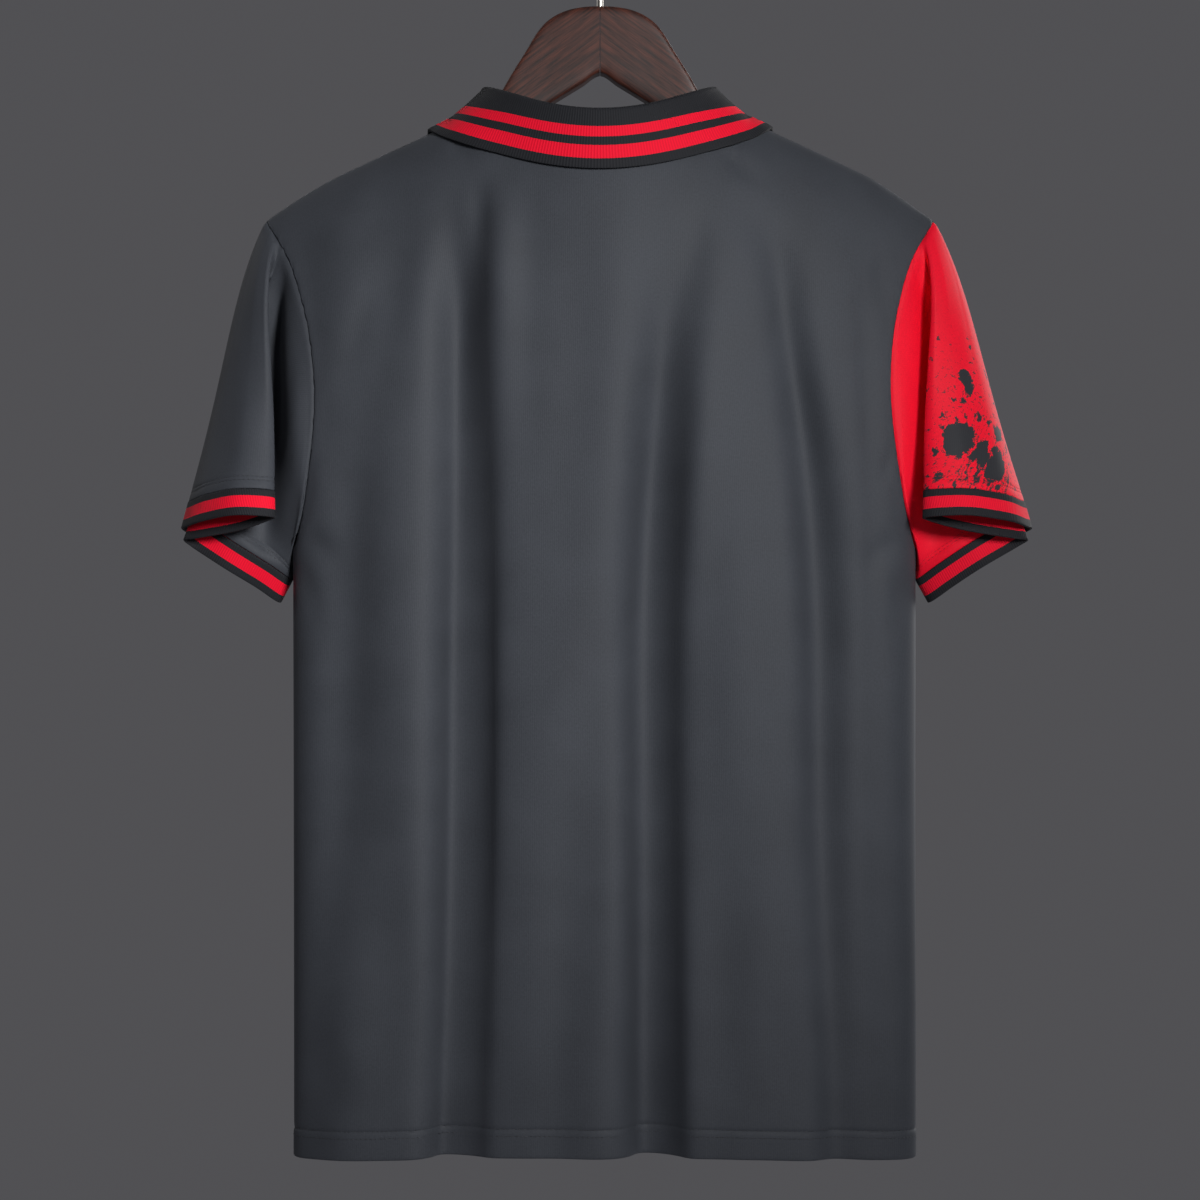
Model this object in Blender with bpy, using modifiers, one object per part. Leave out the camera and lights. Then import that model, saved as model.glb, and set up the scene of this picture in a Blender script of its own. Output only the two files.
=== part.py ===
"""A short-sleeved training jersey with a rib polo collar, hung on a wooden hanger.

The jersey is built from the pieces that a maker cuts and sews: a back and a front panel, two
sleeves with rib cuffs, a rib collar and a two-band placket with buttons. Every piece of cloth is
a thin wall, an open surface worked out from sections and given its thickness by Solidify.

Metres, +Z up. The garment's back faces -Y, so +X is the wearer's right. The origin is the point
inside the top of the hook where a rail carries the hanger.
"""

import math
from collections import namedtuple

import bmesh
import bpy
import numpy as np

# ---------------------------------------------------------------- cloth and seams
JERSEY_WALL = 0.0012
RIB_WALL = 0.0018
SEAM_GAP = 0.0004
LAY_GAP = 0.0005            # between a piece and the cloth that it lies on

# ---------------------------------------------------------------- body
BODY_HALF_WIDTH = 0.2166    # side seam to the garment's centre line
BODY_SHIFT = 0.0032         # the lower body hangs this far to the wearer's right
HEM_Z = -0.863
BACK_HEM_RISE = 0.0055      # the back hem's middle hangs this much higher than its ends
ARMPIT_Z = -0.440
SHOULDER_TIP_X = 0.2338
SHOULDER_TIP_Z = -0.2090
SECTION_POWER = 2.6         # a superellipse: fuller than an oval, with rounded sides
TIP_SECTION_WIDTH = 0.245   # half width of that superellipse at the shoulder tips
SHOULDER_FORWARD = 0.010    # the shoulder tips lie this far in front of the neck

NECK_HALF_WIDTH = 0.0800
NECK_SIDE_Z = -0.1302
BACK_NECK_DROP = 0.0325
FRONT_NECK_DROP = 0.0915

ARMPIT_SHARE = (ARMPIT_Z - HEM_Z) / (SHOULDER_TIP_Z - HEM_Z)

# The ridge over the hanger, carried on past the neck edge to shape the cloth around it.
RidgePoint = namedtuple("RidgePoint", "half_width z")
SHOULDER_RIDGE = [
    RidgePoint(0.0000, -0.1060),
    RidgePoint(0.0450, -0.1160),
    RidgePoint(NECK_HALF_WIDTH, NECK_SIDE_Z),
    RidgePoint(0.1225, -0.1508),
    RidgePoint(0.1596, -0.1676),
    RidgePoint(0.1946, -0.1844),
    RidgePoint(0.2223, -0.2012),
    RidgePoint(SHOULDER_TIP_X, SHOULDER_TIP_Z),
    RidgePoint(0.2600, -0.2320),
]

RIGHT_SHOULDER_LIFT = 0.0022

# How quickly the cloth leaves the ridge on its way down.
LeavePoint = namedtuple("LeavePoint", "half_width length")
RIDGE_LEAVE = [
    LeavePoint(0.000, 0.060),
    LeavePoint(0.070, 0.080),
    LeavePoint(0.150, 0.100),
    LeavePoint(0.260, 0.100),
]

# Distance of the cloth from the garment's middle plane, where it is furthest.
DepthPoint = namedtuple("DepthPoint", "z back front")
BODY_DEPTH = [
    DepthPoint(-0.900, 0.050, 0.049),
    DepthPoint(-0.700, 0.054, 0.052),
    DepthPoint(-0.450, 0.060, 0.057),
    DepthPoint(-0.250, 0.064, 0.061),
    DepthPoint(-0.100, 0.064, 0.061),
]

# The armhole edges of the two panels.
ArmholePoint = namedtuple("ArmholePoint", "z back front")
ARMHOLE = [
    ArmholePoint(ARMPIT_Z, BODY_HALF_WIDTH, BODY_HALF_WIDTH),
    ArmholePoint(-0.4360, 0.2145, 0.2130),
    ArmholePoint(-0.4280, 0.2118, 0.2095),
    ArmholePoint(-0.3830, 0.2030, 0.1975),
    ArmholePoint(-0.3230, 0.1985, 0.1915),
    ArmholePoint(-0.2700, 0.2060, 0.2000),
    ArmholePoint(-0.2350, 0.2180, 0.2150),
    ArmholePoint(SHOULDER_TIP_Z, SHOULDER_TIP_X, SHOULDER_TIP_X),
]

# Soft troughs that run down the panels. Depth is pressed in from the smooth form, and x is
# counted from the centre line. A trough starts at its top, deepens to `full` of its length and
# keeps `foot_share` of its depth at its foot.
Fold = namedtuple("Fold", "top_x top_z mid_x foot_x foot_z depth width full foot_share")
BACK_FOLDS = [
    Fold(-0.082, -0.180, -0.078, -0.084, -0.900, 0.0150, 0.024, 0.50, 1.00),
    Fold(0.066, -0.200, 0.046, 0.052, -0.900, 0.0125, 0.026, 0.50, 1.00),
    Fold(-0.135, -0.230, -0.181, -0.206, -0.900, 0.0075, 0.020, 0.35, 0.55),
    Fold(0.108, -0.230, 0.158, 0.172, -0.900, 0.0075, 0.022, 0.35, 0.60),
    Fold(0.016, -0.420, -0.030, -0.034, -0.900, 0.0035, 0.020, 0.60, 1.00),
]
FRONT_FOLDS = [
    Fold(-0.100, -0.230, -0.088, -0.074, -0.900, 0.0130, 0.026, 0.50, 1.00),
    Fold(0.092, -0.240, 0.072, 0.066, -0.900, 0.0120, 0.027, 0.50, 1.00),
    Fold(-0.140, -0.260, -0.172, -0.176, -0.900, 0.0070, 0.022, 0.40, 0.60),
    Fold(0.146, -0.250, 0.170, 0.184, -0.900, 0.0070, 0.022, 0.40, 0.60),
    Fold(-0.006, -0.450, -0.012, -0.004, -0.900, 0.0060, 0.024, 0.55, 1.00),
]

# ---------------------------------------------------------------- sleeves and cuffs
CUFF_HEIGHT = 0.0195
ARMHOLE_GAP = 0.0009        # sleeve edge to panel edge, where the two walls meet at an angle
ARMPIT_GAP = 0.0023         # the same at the armpit, where the sleeve hangs beside the body
ARMPIT_REACH = 0.15         # share of the armhole on each side of the armpit where it widens
CAP_PUFF = 0.0046           # how far the sleeve head stands out beyond straight lines

# The seam between sleeve and cuff, once round from the underarm: over the back, which is laid
# in one deep pleat, to the outer crease and home over the plain front. `thread` says where on
# the armhole the line through the point starts: 0 at the armpit, 0.5 at the shoulder tip. `open`
# bows that line towards the back on its way, which opens the pleat's layers.
CuffPoint = namedtuple("CuffPoint", "thread right_x left_x y z open")
CUFF_SEAM = [
    CuffPoint(0.000, 0.2218, 0.2160, 0.002, -0.4660, 0.000),
    CuffPoint(0.110, 0.2350, 0.2300, -0.009, -0.4550, 0.000),
    CuffPoint(0.250, 0.2560, 0.2525, -0.014, -0.4385, 0.000),
    CuffPoint(0.390, 0.2790, 0.2745, -0.012, -0.4220, -0.002),
    CuffPoint(0.436, 0.2860, 0.2810, -0.015, -0.4165, -0.004),
    CuffPoint(0.440, 0.2815, 0.2765, -0.020, -0.4145, -0.003),
    CuffPoint(0.448, 0.2550, 0.2510, -0.028, -0.4085, 0.002),
    CuffPoint(0.456, 0.2285, 0.2300, -0.038, -0.4020, 0.007),
    CuffPoint(0.460, 0.2225, 0.2240, -0.043, -0.4000, 0.009),
    CuffPoint(0.464, 0.2280, 0.2290, -0.048, -0.3990, 0.009),
    CuffPoint(0.476, 0.2520, 0.2490, -0.049, -0.3985, 0.006),
    CuffPoint(0.490, 0.2790, 0.2710, -0.034, -0.4020, 0.001),
    CuffPoint(0.496, 0.2910, 0.2825, -0.018, -0.4055, 0.000),
    CuffPoint(0.500, 0.2960, 0.2870, -0.002, -0.4065, 0.000),
    CuffPoint(0.515, 0.2920, 0.2840, 0.014, -0.4095, 0.000),
    CuffPoint(0.600, 0.2710, 0.2675, 0.030, -0.4180, 0.000),
    CuffPoint(0.740, 0.2480, 0.2450, 0.035, -0.4320, 0.000),
    CuffPoint(0.870, 0.2315, 0.2280, 0.028, -0.4470, 0.000),
    CuffPoint(0.960, 0.2240, 0.2180, 0.015, -0.4600, 0.000),
]

# ---------------------------------------------------------------- collar
# From the centre back (0) to the collar's front end (1): how far the stand rises and leans out,
# how long the fall is, and how steeply it drops from the fold line.
CollarPoint = namedtuple("CollarPoint", "share rise lean fall slope_deg")
COLLAR = [
    CollarPoint(0.00, 0.0200, 0.0055, 0.0475, 84.0),
    CollarPoint(0.22, 0.0190, 0.0030, 0.0475, 74.0),
    CollarPoint(0.42, 0.0165, -0.0040, 0.0475, 40.0),
    CollarPoint(0.62, 0.0130, 0.0010, 0.0500, 60.0),
    CollarPoint(0.82, 0.0110, 0.0050, 0.0560, 78.0),
    CollarPoint(1.00, 0.0090, 0.0050, 0.0600, 80.0),
]
COLLAR_FOLD_RADIUS = 0.0021
COLLAR_STEP = 0.0086        # widest spacing of the sections along the neck edge
COLLAR_END_X = 0.0080       # the collar's front ends stand this far from the centre line
COLLAR_SEAM_END = 0.0004    # the stand's lower edge from the panels' edge, where they line up
COLLAR_SEAM_SIDE = 0.0014   # and this much more where the stand stands square to the panels
COLLAR_CLEAR = 0.0030       # middle of the fall's wall above the middle of the panel's wall

# ---------------------------------------------------------------- placket
PLACKET_HALF_WIDTH = 0.0160
PLACKET_FOOT_Z = -0.3800
SLIT_HALF_WIDTH = 0.0120
SLIT_FOOT_Z = -0.3640
BUTTON_DIAMETER = 0.0115
BUTTON_THICKNESS = 0.0024
BUTTON_Z = [-0.2420, -0.2960, -0.3500]

# ---------------------------------------------------------------- hanger
HANGER_JOINT_GAP = 0.0003
HANGER_REACH = 0.2215       # centre to arm end
HANGER_SEAT = 0.0028        # top of the wood below the middle of the shoulder cloth
# Sections across one half, from the glued joint to the arm's end.
HangerSection = namedtuple("HangerSection", "x top bottom thickness")
HANGER_SECTIONS = [
    HangerSection(0.0000, -0.0606, -0.1075, 0.0200),
    HangerSection(0.0120, -0.0614, -0.1142, 0.0200),
    HangerSection(0.0220, -0.0640, -0.1198, 0.0200),
    HangerSection(0.0300, -0.0680, -0.1243, 0.0200),
    HangerSection(0.0370, -0.0735, -0.1282, 0.0201),
    HangerSection(0.0430, -0.0812, -0.1316, 0.0203),
    HangerSection(0.0490, -0.0915, -0.1350, 0.0205),
    HangerSection(0.0560, -0.1022, -0.1390, 0.0208),
    HangerSection(0.0640, -0.1150, -0.1436, 0.0205),
    HangerSection(0.0710, -0.1268, -0.1490, 0.0190),
    HangerSection(0.0770, -0.1365, -0.1535, 0.0170),
]
ARM_DEPTHS = [(0.083, 0.0205), (0.120, 0.0200), (0.160, 0.0195), (0.195, 0.0190), (0.215, 0.0175)]
ARM_THICKNESSES = [(0.083, 0.0160), (0.105, 0.0200), (0.150, 0.0210), (0.195, 0.0210), (0.2215, 0.0200)]
HOOK_WIRE = 0.0046
HOOK_INNER_RADIUS = 0.0190
HOOK_TIP_DEG = 212.0        # where the hook's free end stops, counted from +X over the top
HOOK_JOIN_DEG = -48.0       # where the bend from the shank joins the round

COLOURS = {
    "charcoal": ((0.052, 0.055, 0.067, 1.0), 0.62, 0.0),
    "red": ((0.800, 0.010, 0.030, 1.0), 0.60, 0.0),
    "rib": ((0.028, 0.031, 0.038, 1.0), 0.80, 0.0),
    "button": ((0.020, 0.021, 0.025, 1.0), 0.35, 0.0),
    "wood": ((0.085, 0.040, 0.030, 1.0), 0.35, 0.0),
    "steel": ((0.620, 0.600, 0.570, 1.0), 0.25, 1.0),
}


# ---------------------------------------------------------------- curves
def through(knots, values, at):
    """A smooth curve through a few knots, made of cubic pieces with slopes from the neighbours.
    A curve that starts at the centre line is level there."""
    knots = np.asarray(knots, float)
    values = np.asarray(values, float)
    slopes = np.gradient(values, knots)
    if knots[0] == 0.0:
        slopes[0] = 0.0
    at = np.clip(np.asarray(at, float), knots[0], knots[-1])
    i = np.clip(np.searchsorted(knots, at, side="right") - 1, 0, len(knots) - 2)
    width = knots[i + 1] - knots[i]
    t = (at - knots[i]) / width
    start = (2 * t**3 - 3 * t**2 + 1) * values[i] + (t**3 - 2 * t**2 + t) * width * slopes[i]
    end = (3 * t**2 - 2 * t**3) * values[i + 1] + (t**3 - t**2) * width * slopes[i + 1]
    return start + end


def from_table(table, key, column, at):
    """One column of a table as a smooth function of its key column."""
    return through([getattr(row, key) for row in table], [getattr(row, column) for row in table], at)


def ease(t):
    """0 to 1 with level ends."""
    t = np.clip(t, 0.0, 1.0)
    return t * t * (3 - 2 * t)


def unit(vectors):
    """Vectors along the last axis, made one long."""
    return vectors / np.maximum(np.linalg.norm(vectors, axis=-1, keepdims=True), 1e-12)


def along(points, shares):
    """Points at these shares of the length of a polyline."""
    steps = np.linalg.norm(np.diff(points, axis=0), axis=1)
    length = np.concatenate([[0.0], np.cumsum(steps)])
    return np.stack([np.interp(np.asarray(shares) * length[-1], length, c) for c in points.T], axis=-1)


# ---------------------------------------------------------------- the body's form
def body_shift(z):
    """The garment's centre line moves sideways between the shoulders and the armpits."""
    return BODY_SHIFT * ease((SHOULDER_TIP_Z - z) / (SHOULDER_TIP_Z - ARMPIT_Z))


def ridge_z(x):
    """Height of the ridge, where the shoulder seams lie. The right shoulder rides a little higher."""
    rides = ease((x - 0.085) / 0.035) * (1 - ease((x - 0.185) / 0.045))
    return from_table(SHOULDER_RIDGE, "half_width", "z", np.abs(x)) + RIGHT_SHOULDER_LIFT * rides


def section_width(z):
    """Half width of the superellipse section at a height."""
    rise = np.clip((z - ARMPIT_Z) / (SHOULDER_TIP_Z - ARMPIT_Z), 0.0, 1.2)
    return BODY_HALF_WIDTH + (TIP_SECTION_WIDTH - BODY_HALF_WIDTH) * rise


def across_share(x, z):
    """1 at the centre line, 0 at the section's ends."""
    ratio = np.clip(np.abs(x) / section_width(z), 0.0, 1.0)
    return (1 - ratio**SECTION_POWER) ** (1 / SECTION_POWER)


def shoulder_forward(x, z):
    """The middle plane curves towards the front at the shoulders and is flat from the armpits down."""
    fade = ease((z - ARMPIT_Z) / (SHOULDER_TIP_Z - ARMPIT_Z))
    return SHOULDER_FORWARD * (np.abs(x) / SHOULDER_TIP_X) ** 2 * fade


def fold_depth(folds, x, z):
    """Sum of the troughs: each is a soft bell across a curved line."""
    total = np.zeros(np.broadcast(x, z).shape)
    for f in folds:
        down = np.clip((f.top_z - z) / (f.top_z - f.foot_z), 0.0, 1.0)
        middle = f.mid_x + (f.foot_x - f.mid_x) * ease(2 * down - 1)
        line = f.top_x + (middle - f.top_x) * np.sin(np.clip(down * 2, 0, 1) * math.pi / 2)
        grow = ease(down / f.full) * (1 - (1 - f.foot_share) * ease((down - f.full) / (1 - f.full)))
        total += f.depth * grow * np.exp(-(((x - line) / f.width) ** 2))
    return total


def body_y(side, x, z):
    """Y of the cloth's middle at x from the centre line and height z. Side is back or front."""
    depth = from_table(BODY_DEPTH, "z", side, z)
    leave = from_table(RIDGE_LEAVE, "half_width", "length", np.abs(x))
    drop = np.maximum(ridge_z(x) - z, 0.0)
    smooth = depth * across_share(x, z) * np.sqrt(1 - np.exp(-drop / leave))
    folds = BACK_FOLDS if side == "back" else FRONT_FOLDS
    pressed = fold_depth(folds, x, z) * across_share(x, z)
    sign = -1.0 if side == "back" else 1.0
    return shoulder_forward(x, z) + sign * np.maximum(smooth - pressed, 0.0)


def body_points(side, x, z):
    """Points of the cloth's middle, in place."""
    return np.stack(np.broadcast_arrays(x + body_shift(z), body_y(side, x, z), z), axis=-1)


def neck_z(side, x):
    """Height of a panel's neck edge."""
    level = 1 - np.clip(np.abs(x) / NECK_HALF_WIDTH, 0.0, 1.0) ** 2
    if side == "back":
        return NECK_SIDE_Z - BACK_NECK_DROP * level
    return NECK_SIDE_Z - FRONT_NECK_DROP * level**0.72


def top_z(side, x):
    """Height of a panel's upper edge: the neck curve, then the shoulder seam."""
    return np.where(np.abs(x) < NECK_HALF_WIDTH, neck_z(side, x), ridge_z(x))


def edge_x(side, z):
    """Half width of a panel at its side seam and armhole edge."""
    return np.where(z <= ARMPIT_Z, BODY_HALF_WIDTH, from_table(ARMHOLE, "z", side, z))


def panel_columns(side, count=32):
    """Shares of the half width, evenly spaced along the cloth of a section below the arms, with
    more beside the ends of the neck, where the edge turns."""
    level = -0.60
    dense = np.linspace(-1, 1, 2001)
    x = dense * BODY_HALF_WIDTH
    y = body_y(side, x, np.full_like(x, level))
    length = np.concatenate([[0.0], np.cumsum(np.hypot(np.diff(x), np.diff(y)))])
    shares = np.interp(np.linspace(0, length[-1], count + 1), length, dense)
    neck = NECK_HALF_WIDTH / SHOULDER_TIP_X
    for stop in (-neck, neck):
        shares[np.abs(shares - stop).argmin()] = stop
    beside = np.array([0.955, 0.988] if side == "front" else [0.955]) * neck
    return np.sort(np.concatenate([shares, -beside, beside]))


def panel_rows(below, above):
    """Row shares from hem to top. They close up towards the shoulder seam, which is rounded."""
    lower = np.linspace(0, ARMPIT_SHARE, below + 1)
    climb = np.append(np.linspace(0, 1, above + 1), [0.035, 0.97])
    climb.sort()
    return np.concatenate([lower[:-1], ARMPIT_SHARE + (1 - ARMPIT_SHARE) * (1 - (1 - climb) ** 1.6)])


def panel_xz(side, columns, rows):
    """x from the centre line and z over a panel's grid. Near the middle the columns are upright,
    and towards the sides they follow the side seam and the armhole."""
    side_z = HEM_Z + rows[:, None] * (SHOULDER_TIP_Z - HEM_Z)
    reach = edge_x(side, side_z)
    lean = columns[None, :] ** 2
    x = columns[None, :] * (SHOULDER_TIP_X * (1 - lean) * rows[:, None]
                            + BODY_HALF_WIDTH * (1 - lean) * (1 - rows[:, None]) + reach * lean)
    rise = BACK_HEM_RISE if side == "back" else 0.0
    hem = HEM_Z + rise * (1 - columns[None, :] ** 2)
    z = hem + rows[:, None] * (top_z(side, columns * SHOULDER_TIP_X)[None, :] - hem)
    return x, z


def armhole_edge(right, side, count=160):
    """The armhole edge of a panel from armpit to shoulder tip."""
    z = np.linspace(ARMPIT_Z, SHOULDER_TIP_Z, count)
    x = edge_x(side, z) * (1 if right else -1)
    return body_points(side, x, z)


# ---------------------------------------------------------------- mesh helpers
def material(name):
    colour, roughness, metallic = COLOURS[name]
    made = bpy.data.materials.get(name) or bpy.data.materials.new(name)
    made.use_nodes = True
    shader = made.node_tree.nodes["Principled BSDF"]
    shader.inputs["Base Color"].default_value = colour
    shader.inputs["Roughness"].default_value = roughness
    shader.inputs["Metallic"].default_value = metallic
    made.diffuse_color = colour
    return made


def add_object(name, mesh, finish):
    obj = bpy.data.objects.new(name, mesh)
    obj.data.materials.append(material(finish))
    bpy.data.collections["training_jersey"].objects.link(obj)
    return obj


def grid_mesh(name, grid, ring=False, keep=None):
    """A mesh of quads from a grid of points. A ring's last column joins its first, and only the
    cells that keep allows are filled."""
    rows, columns = grid.shape[:2]
    across = columns if ring else columns - 1
    row, column = np.meshgrid(np.arange(rows - 1), np.arange(across), indexing="ij")
    beside = (column + 1) % columns
    quads = np.stack([row * columns + column, row * columns + beside,
                      (row + 1) * columns + beside, (row + 1) * columns + column], axis=-1)
    quads = quads.reshape(-1, 4) if keep is None else quads[keep]
    used, index = np.unique(quads, return_inverse=True)
    mesh = bpy.data.meshes.new(name)
    mesh.from_pydata(grid.reshape(-1, 3)[used].tolist(), [], index.reshape(-1, 4).tolist())
    mesh.update()
    mesh.shade_smooth()
    return mesh


def add_cloth(name, grid, thickness, finish, ring=False, keep=None):
    """A wall of cloth whose middle is the grid."""
    obj = add_object(name, grid_mesh(name, grid, ring, keep), finish)
    wall = obj.modifiers.new("wall", "SOLIDIFY")
    wall.thickness = thickness
    wall.offset = 0.0
    return obj


def front_columns():
    """The front's columns, with one along each side of the slit."""
    columns = panel_columns("front")
    for stop in (-SLIT_HALF_WIDTH / BODY_HALF_WIDTH, SLIT_HALF_WIDTH / BODY_HALF_WIDTH):
        columns[np.abs(columns - stop).argmin()] = stop
    return columns


# ---------------------------------------------------------------- panels
def add_back_panel():
    columns = panel_columns("back")
    rows = panel_rows(11, 12)
    x, z = panel_xz("back", columns, rows)
    grid = body_points("back", x, z)
    grid[..., 1] -= SEAM_GAP / 2
    return add_cloth("back_panel", grid, JERSEY_WALL, "charcoal")


def add_front_panel():
    """The front is slit at the centre for the placket."""
    columns = front_columns()
    rows = panel_rows(11, 12)
    x, z = panel_xz("front", columns, rows)
    grid = body_points("front", x, z)
    grid[..., 1] += SEAM_GAP / 2
    middle_x = (x[:-1, :-1] + x[1:, 1:]) / 2
    middle_z = (z[:-1, :-1] + z[1:, 1:]) / 2
    keep = ~((np.abs(middle_x) < SLIT_HALF_WIDTH) & (middle_z > SLIT_FOOT_Z))
    return add_cloth("front_panel", grid, JERSEY_WALL, "charcoal", keep=keep)


# ---------------------------------------------------------------- sleeves
def armhole_loop(right, threads):
    """Points of the armhole: thread 0 at the armpit, up the back to 0.5, down the front to 1."""
    back = along(armhole_edge(right, "back"), np.clip(threads * 2, 0, 1))
    front = along(armhole_edge(right, "front"), np.clip(2 - threads * 2, 0, 1))
    return np.where((threads <= 0.5)[:, None], back, front)


def closed_curve(points, count):
    """A smooth closed curve through the points, closer where they are close, and where its count
    points fall among theirs."""
    wrapped = np.concatenate([points[-2:], points, points[:3]])
    steps = np.linalg.norm(np.diff(wrapped, axis=0), axis=1) ** 0.5
    knots = np.concatenate([[0.0], np.cumsum(steps)])
    knots -= knots[2]
    at = np.linspace(0, knots[len(points) + 2], count, endpoint=False)
    curve = np.stack([through(knots, c, at) for c in wrapped.T], axis=-1)
    return curve, at, knots[2:len(points) + 3]


def cuff_seam(right, count):
    """The seam ring, and the armhole thread and the pleat's opening at each of its points."""
    sign = 1.0 if right else -1.0
    points = np.array([[sign * (p.right_x if right else p.left_x), p.y, p.z] for p in CUFF_SEAM])
    ring, at, knots = closed_curve(points, count)
    threads = np.interp(at, knots, [p.thread for p in CUFF_SEAM] + [1.0])
    opening = np.interp(at, knots, [p.open for p in CUFF_SEAM] + [CUFF_SEAM[0].open])
    return ring, threads, opening


def sleeve_start(right, threads):
    """The armhole moved outwards by the seam's gap, which widens at the armpit."""
    sign = 1.0 if right else -1.0
    loop = armhole_loop(right, threads)
    near_armpit = np.minimum(threads, 1 - threads)
    gap = ARMHOLE_GAP + (ARMPIT_GAP - ARMHOLE_GAP) * np.exp(-((near_armpit / ARMPIT_REACH) ** 2))
    outward = np.zeros_like(loop)
    outward[:, 0] = sign
    return loop + outward * gap[:, None]


def bowed(right, threads, opening, share):
    """How far the lines to the cuff bow: the sleeve head stands out, and the pleat opens."""
    sign = 1.0 if right else -1.0
    near_tip = np.exp(-(((threads - 0.5) / 0.16) ** 2))
    swell = share * (1 - share) ** 3 / 0.1055
    bow = np.zeros((len(threads), 3))
    bow[:, 0] = sign * CAP_PUFF * near_tip * swell
    bow[:, 1] = -opening * swell
    return bow


def sleeve_grid(right, around, lengthwise):
    """Rings from the armhole to the cuff seam."""
    ring, threads, opening = cuff_seam(right, around)
    start = sleeve_start(right, threads)
    shares = np.linspace(0, 1, lengthwise + 1) ** 1.15
    return np.array([start * (1 - s) + ring * s + bowed(right, threads, opening, s) for s in shares])


def cuff_grid(right, around, lengthwise):
    """Rings of the cuff: it goes on from the sleeve, square to the seam."""
    ring, threads, _ = cuff_seam(right, around)
    run = unit(ring - sleeve_start(right, threads))
    tangent = unit(np.roll(ring, -1, axis=0) - np.roll(ring, 1, axis=0))
    square = unit(run - (run * tangent).sum(1, keepdims=True) * tangent)
    smoothed = square
    for _ in range(around // 12):
        smoothed = (np.roll(smoothed, 1, axis=0) + smoothed * 2 + np.roll(smoothed, -1, axis=0)) / 4
    square = unit(smoothed)
    shares = np.linspace(SEAM_GAP / CUFF_HEIGHT, 1, lengthwise + 1)
    return np.array([ring + square * CUFF_HEIGHT * s for s in shares])


def add_sleeve(right):
    name = "right" if right else "left"
    cloth = "red" if right else "charcoal"
    add_cloth(f"sleeve_{name}", sleeve_grid(right, 40, 10), JERSEY_WALL, cloth, ring=True)
    add_cloth(f"cuff_{name}", cuff_grid(right, 40, 2), RIB_WALL, "rib", ring=True)


# ---------------------------------------------------------------- collar
def neck_edge(side):
    """The corners of a panel's neck edge, from left to right."""
    x = (front_columns() if side == "front" else panel_columns("back")) * SHOULDER_TIP_X
    x = x[np.abs(x) < NECK_HALF_WIDTH + 1e-6]
    return body_points(side, x, neck_z(side, x))


def neck_line():
    """The neck edge from the collar's left front end, round the back, to its right end. It has
    the panels' corners and evenly spaced places between them."""
    front = neck_edge("front")
    end = np.array([COLLAR_END_X])
    end = body_points("front", end, neck_z("front", end))[0]
    right = front[front[:, 0] > COLLAR_END_X + 0.002]
    left = front[front[:, 0] < -COLLAR_END_X - 0.002]
    line = np.concatenate([[end * (-1, 1, 1)], left[::-1], neck_edge("back")[1:-1], right[::-1], [end]])
    parts = [np.linspace(a, b, math.ceil(np.linalg.norm(b - a) / COLLAR_STEP), endpoint=False)
             for a, b in zip(line[:-1], line[1:])]
    return np.concatenate(parts + [line[-1:]])


def surface_z(x, y):
    """Height of the shoulders' cloth over a place in plan, or far below where there is none."""
    side_y = y - shoulder_forward(x, np.full_like(x, SHOULDER_TIP_Z))
    depth = np.where(side_y < 0, BODY_DEPTH[-1].back, BODY_DEPTH[-1].front)
    leave = from_table(RIDGE_LEAVE, "half_width", "length", np.abs(x))
    ratio = np.abs(side_y) / (depth * across_share(x, np.full_like(x, -0.19)))
    inside = np.log(np.clip(1 - ratio**2, 1e-4, 1.0))
    return ridge_z(x) + leave * inside


def above_cloth(points):
    """How far points are above the middle of the shoulders' cloth, and which way that is."""
    step = 0.0005
    x, y, z = np.moveaxis(points, -1, 0)
    here = surface_z(x, y)
    slope = np.stack([here - surface_z(x + step, y), here - surface_z(x, y + step),
                      np.full_like(x, step)], axis=-1)
    length = np.linalg.norm(slope, axis=-1)
    return (z - here) * step / length, slope / length[..., None]


def lifted(points, clear):
    """Points moved square off the shoulders' cloth until they are this far above its middle."""
    for _ in range(4):
        height, normal = above_cloth(points)
        points = points + normal * np.maximum(clear - height, 0.0)[..., None]
    return points


def smooth_ends(vectors):
    """Each vector with a share of its neighbours, twice over. The end ones stay."""
    for _ in range(2):
        vectors[1:-1] = (vectors[:-2] + 2 * vectors[1:-1] + vectors[2:]) / 4
    return vectors


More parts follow.
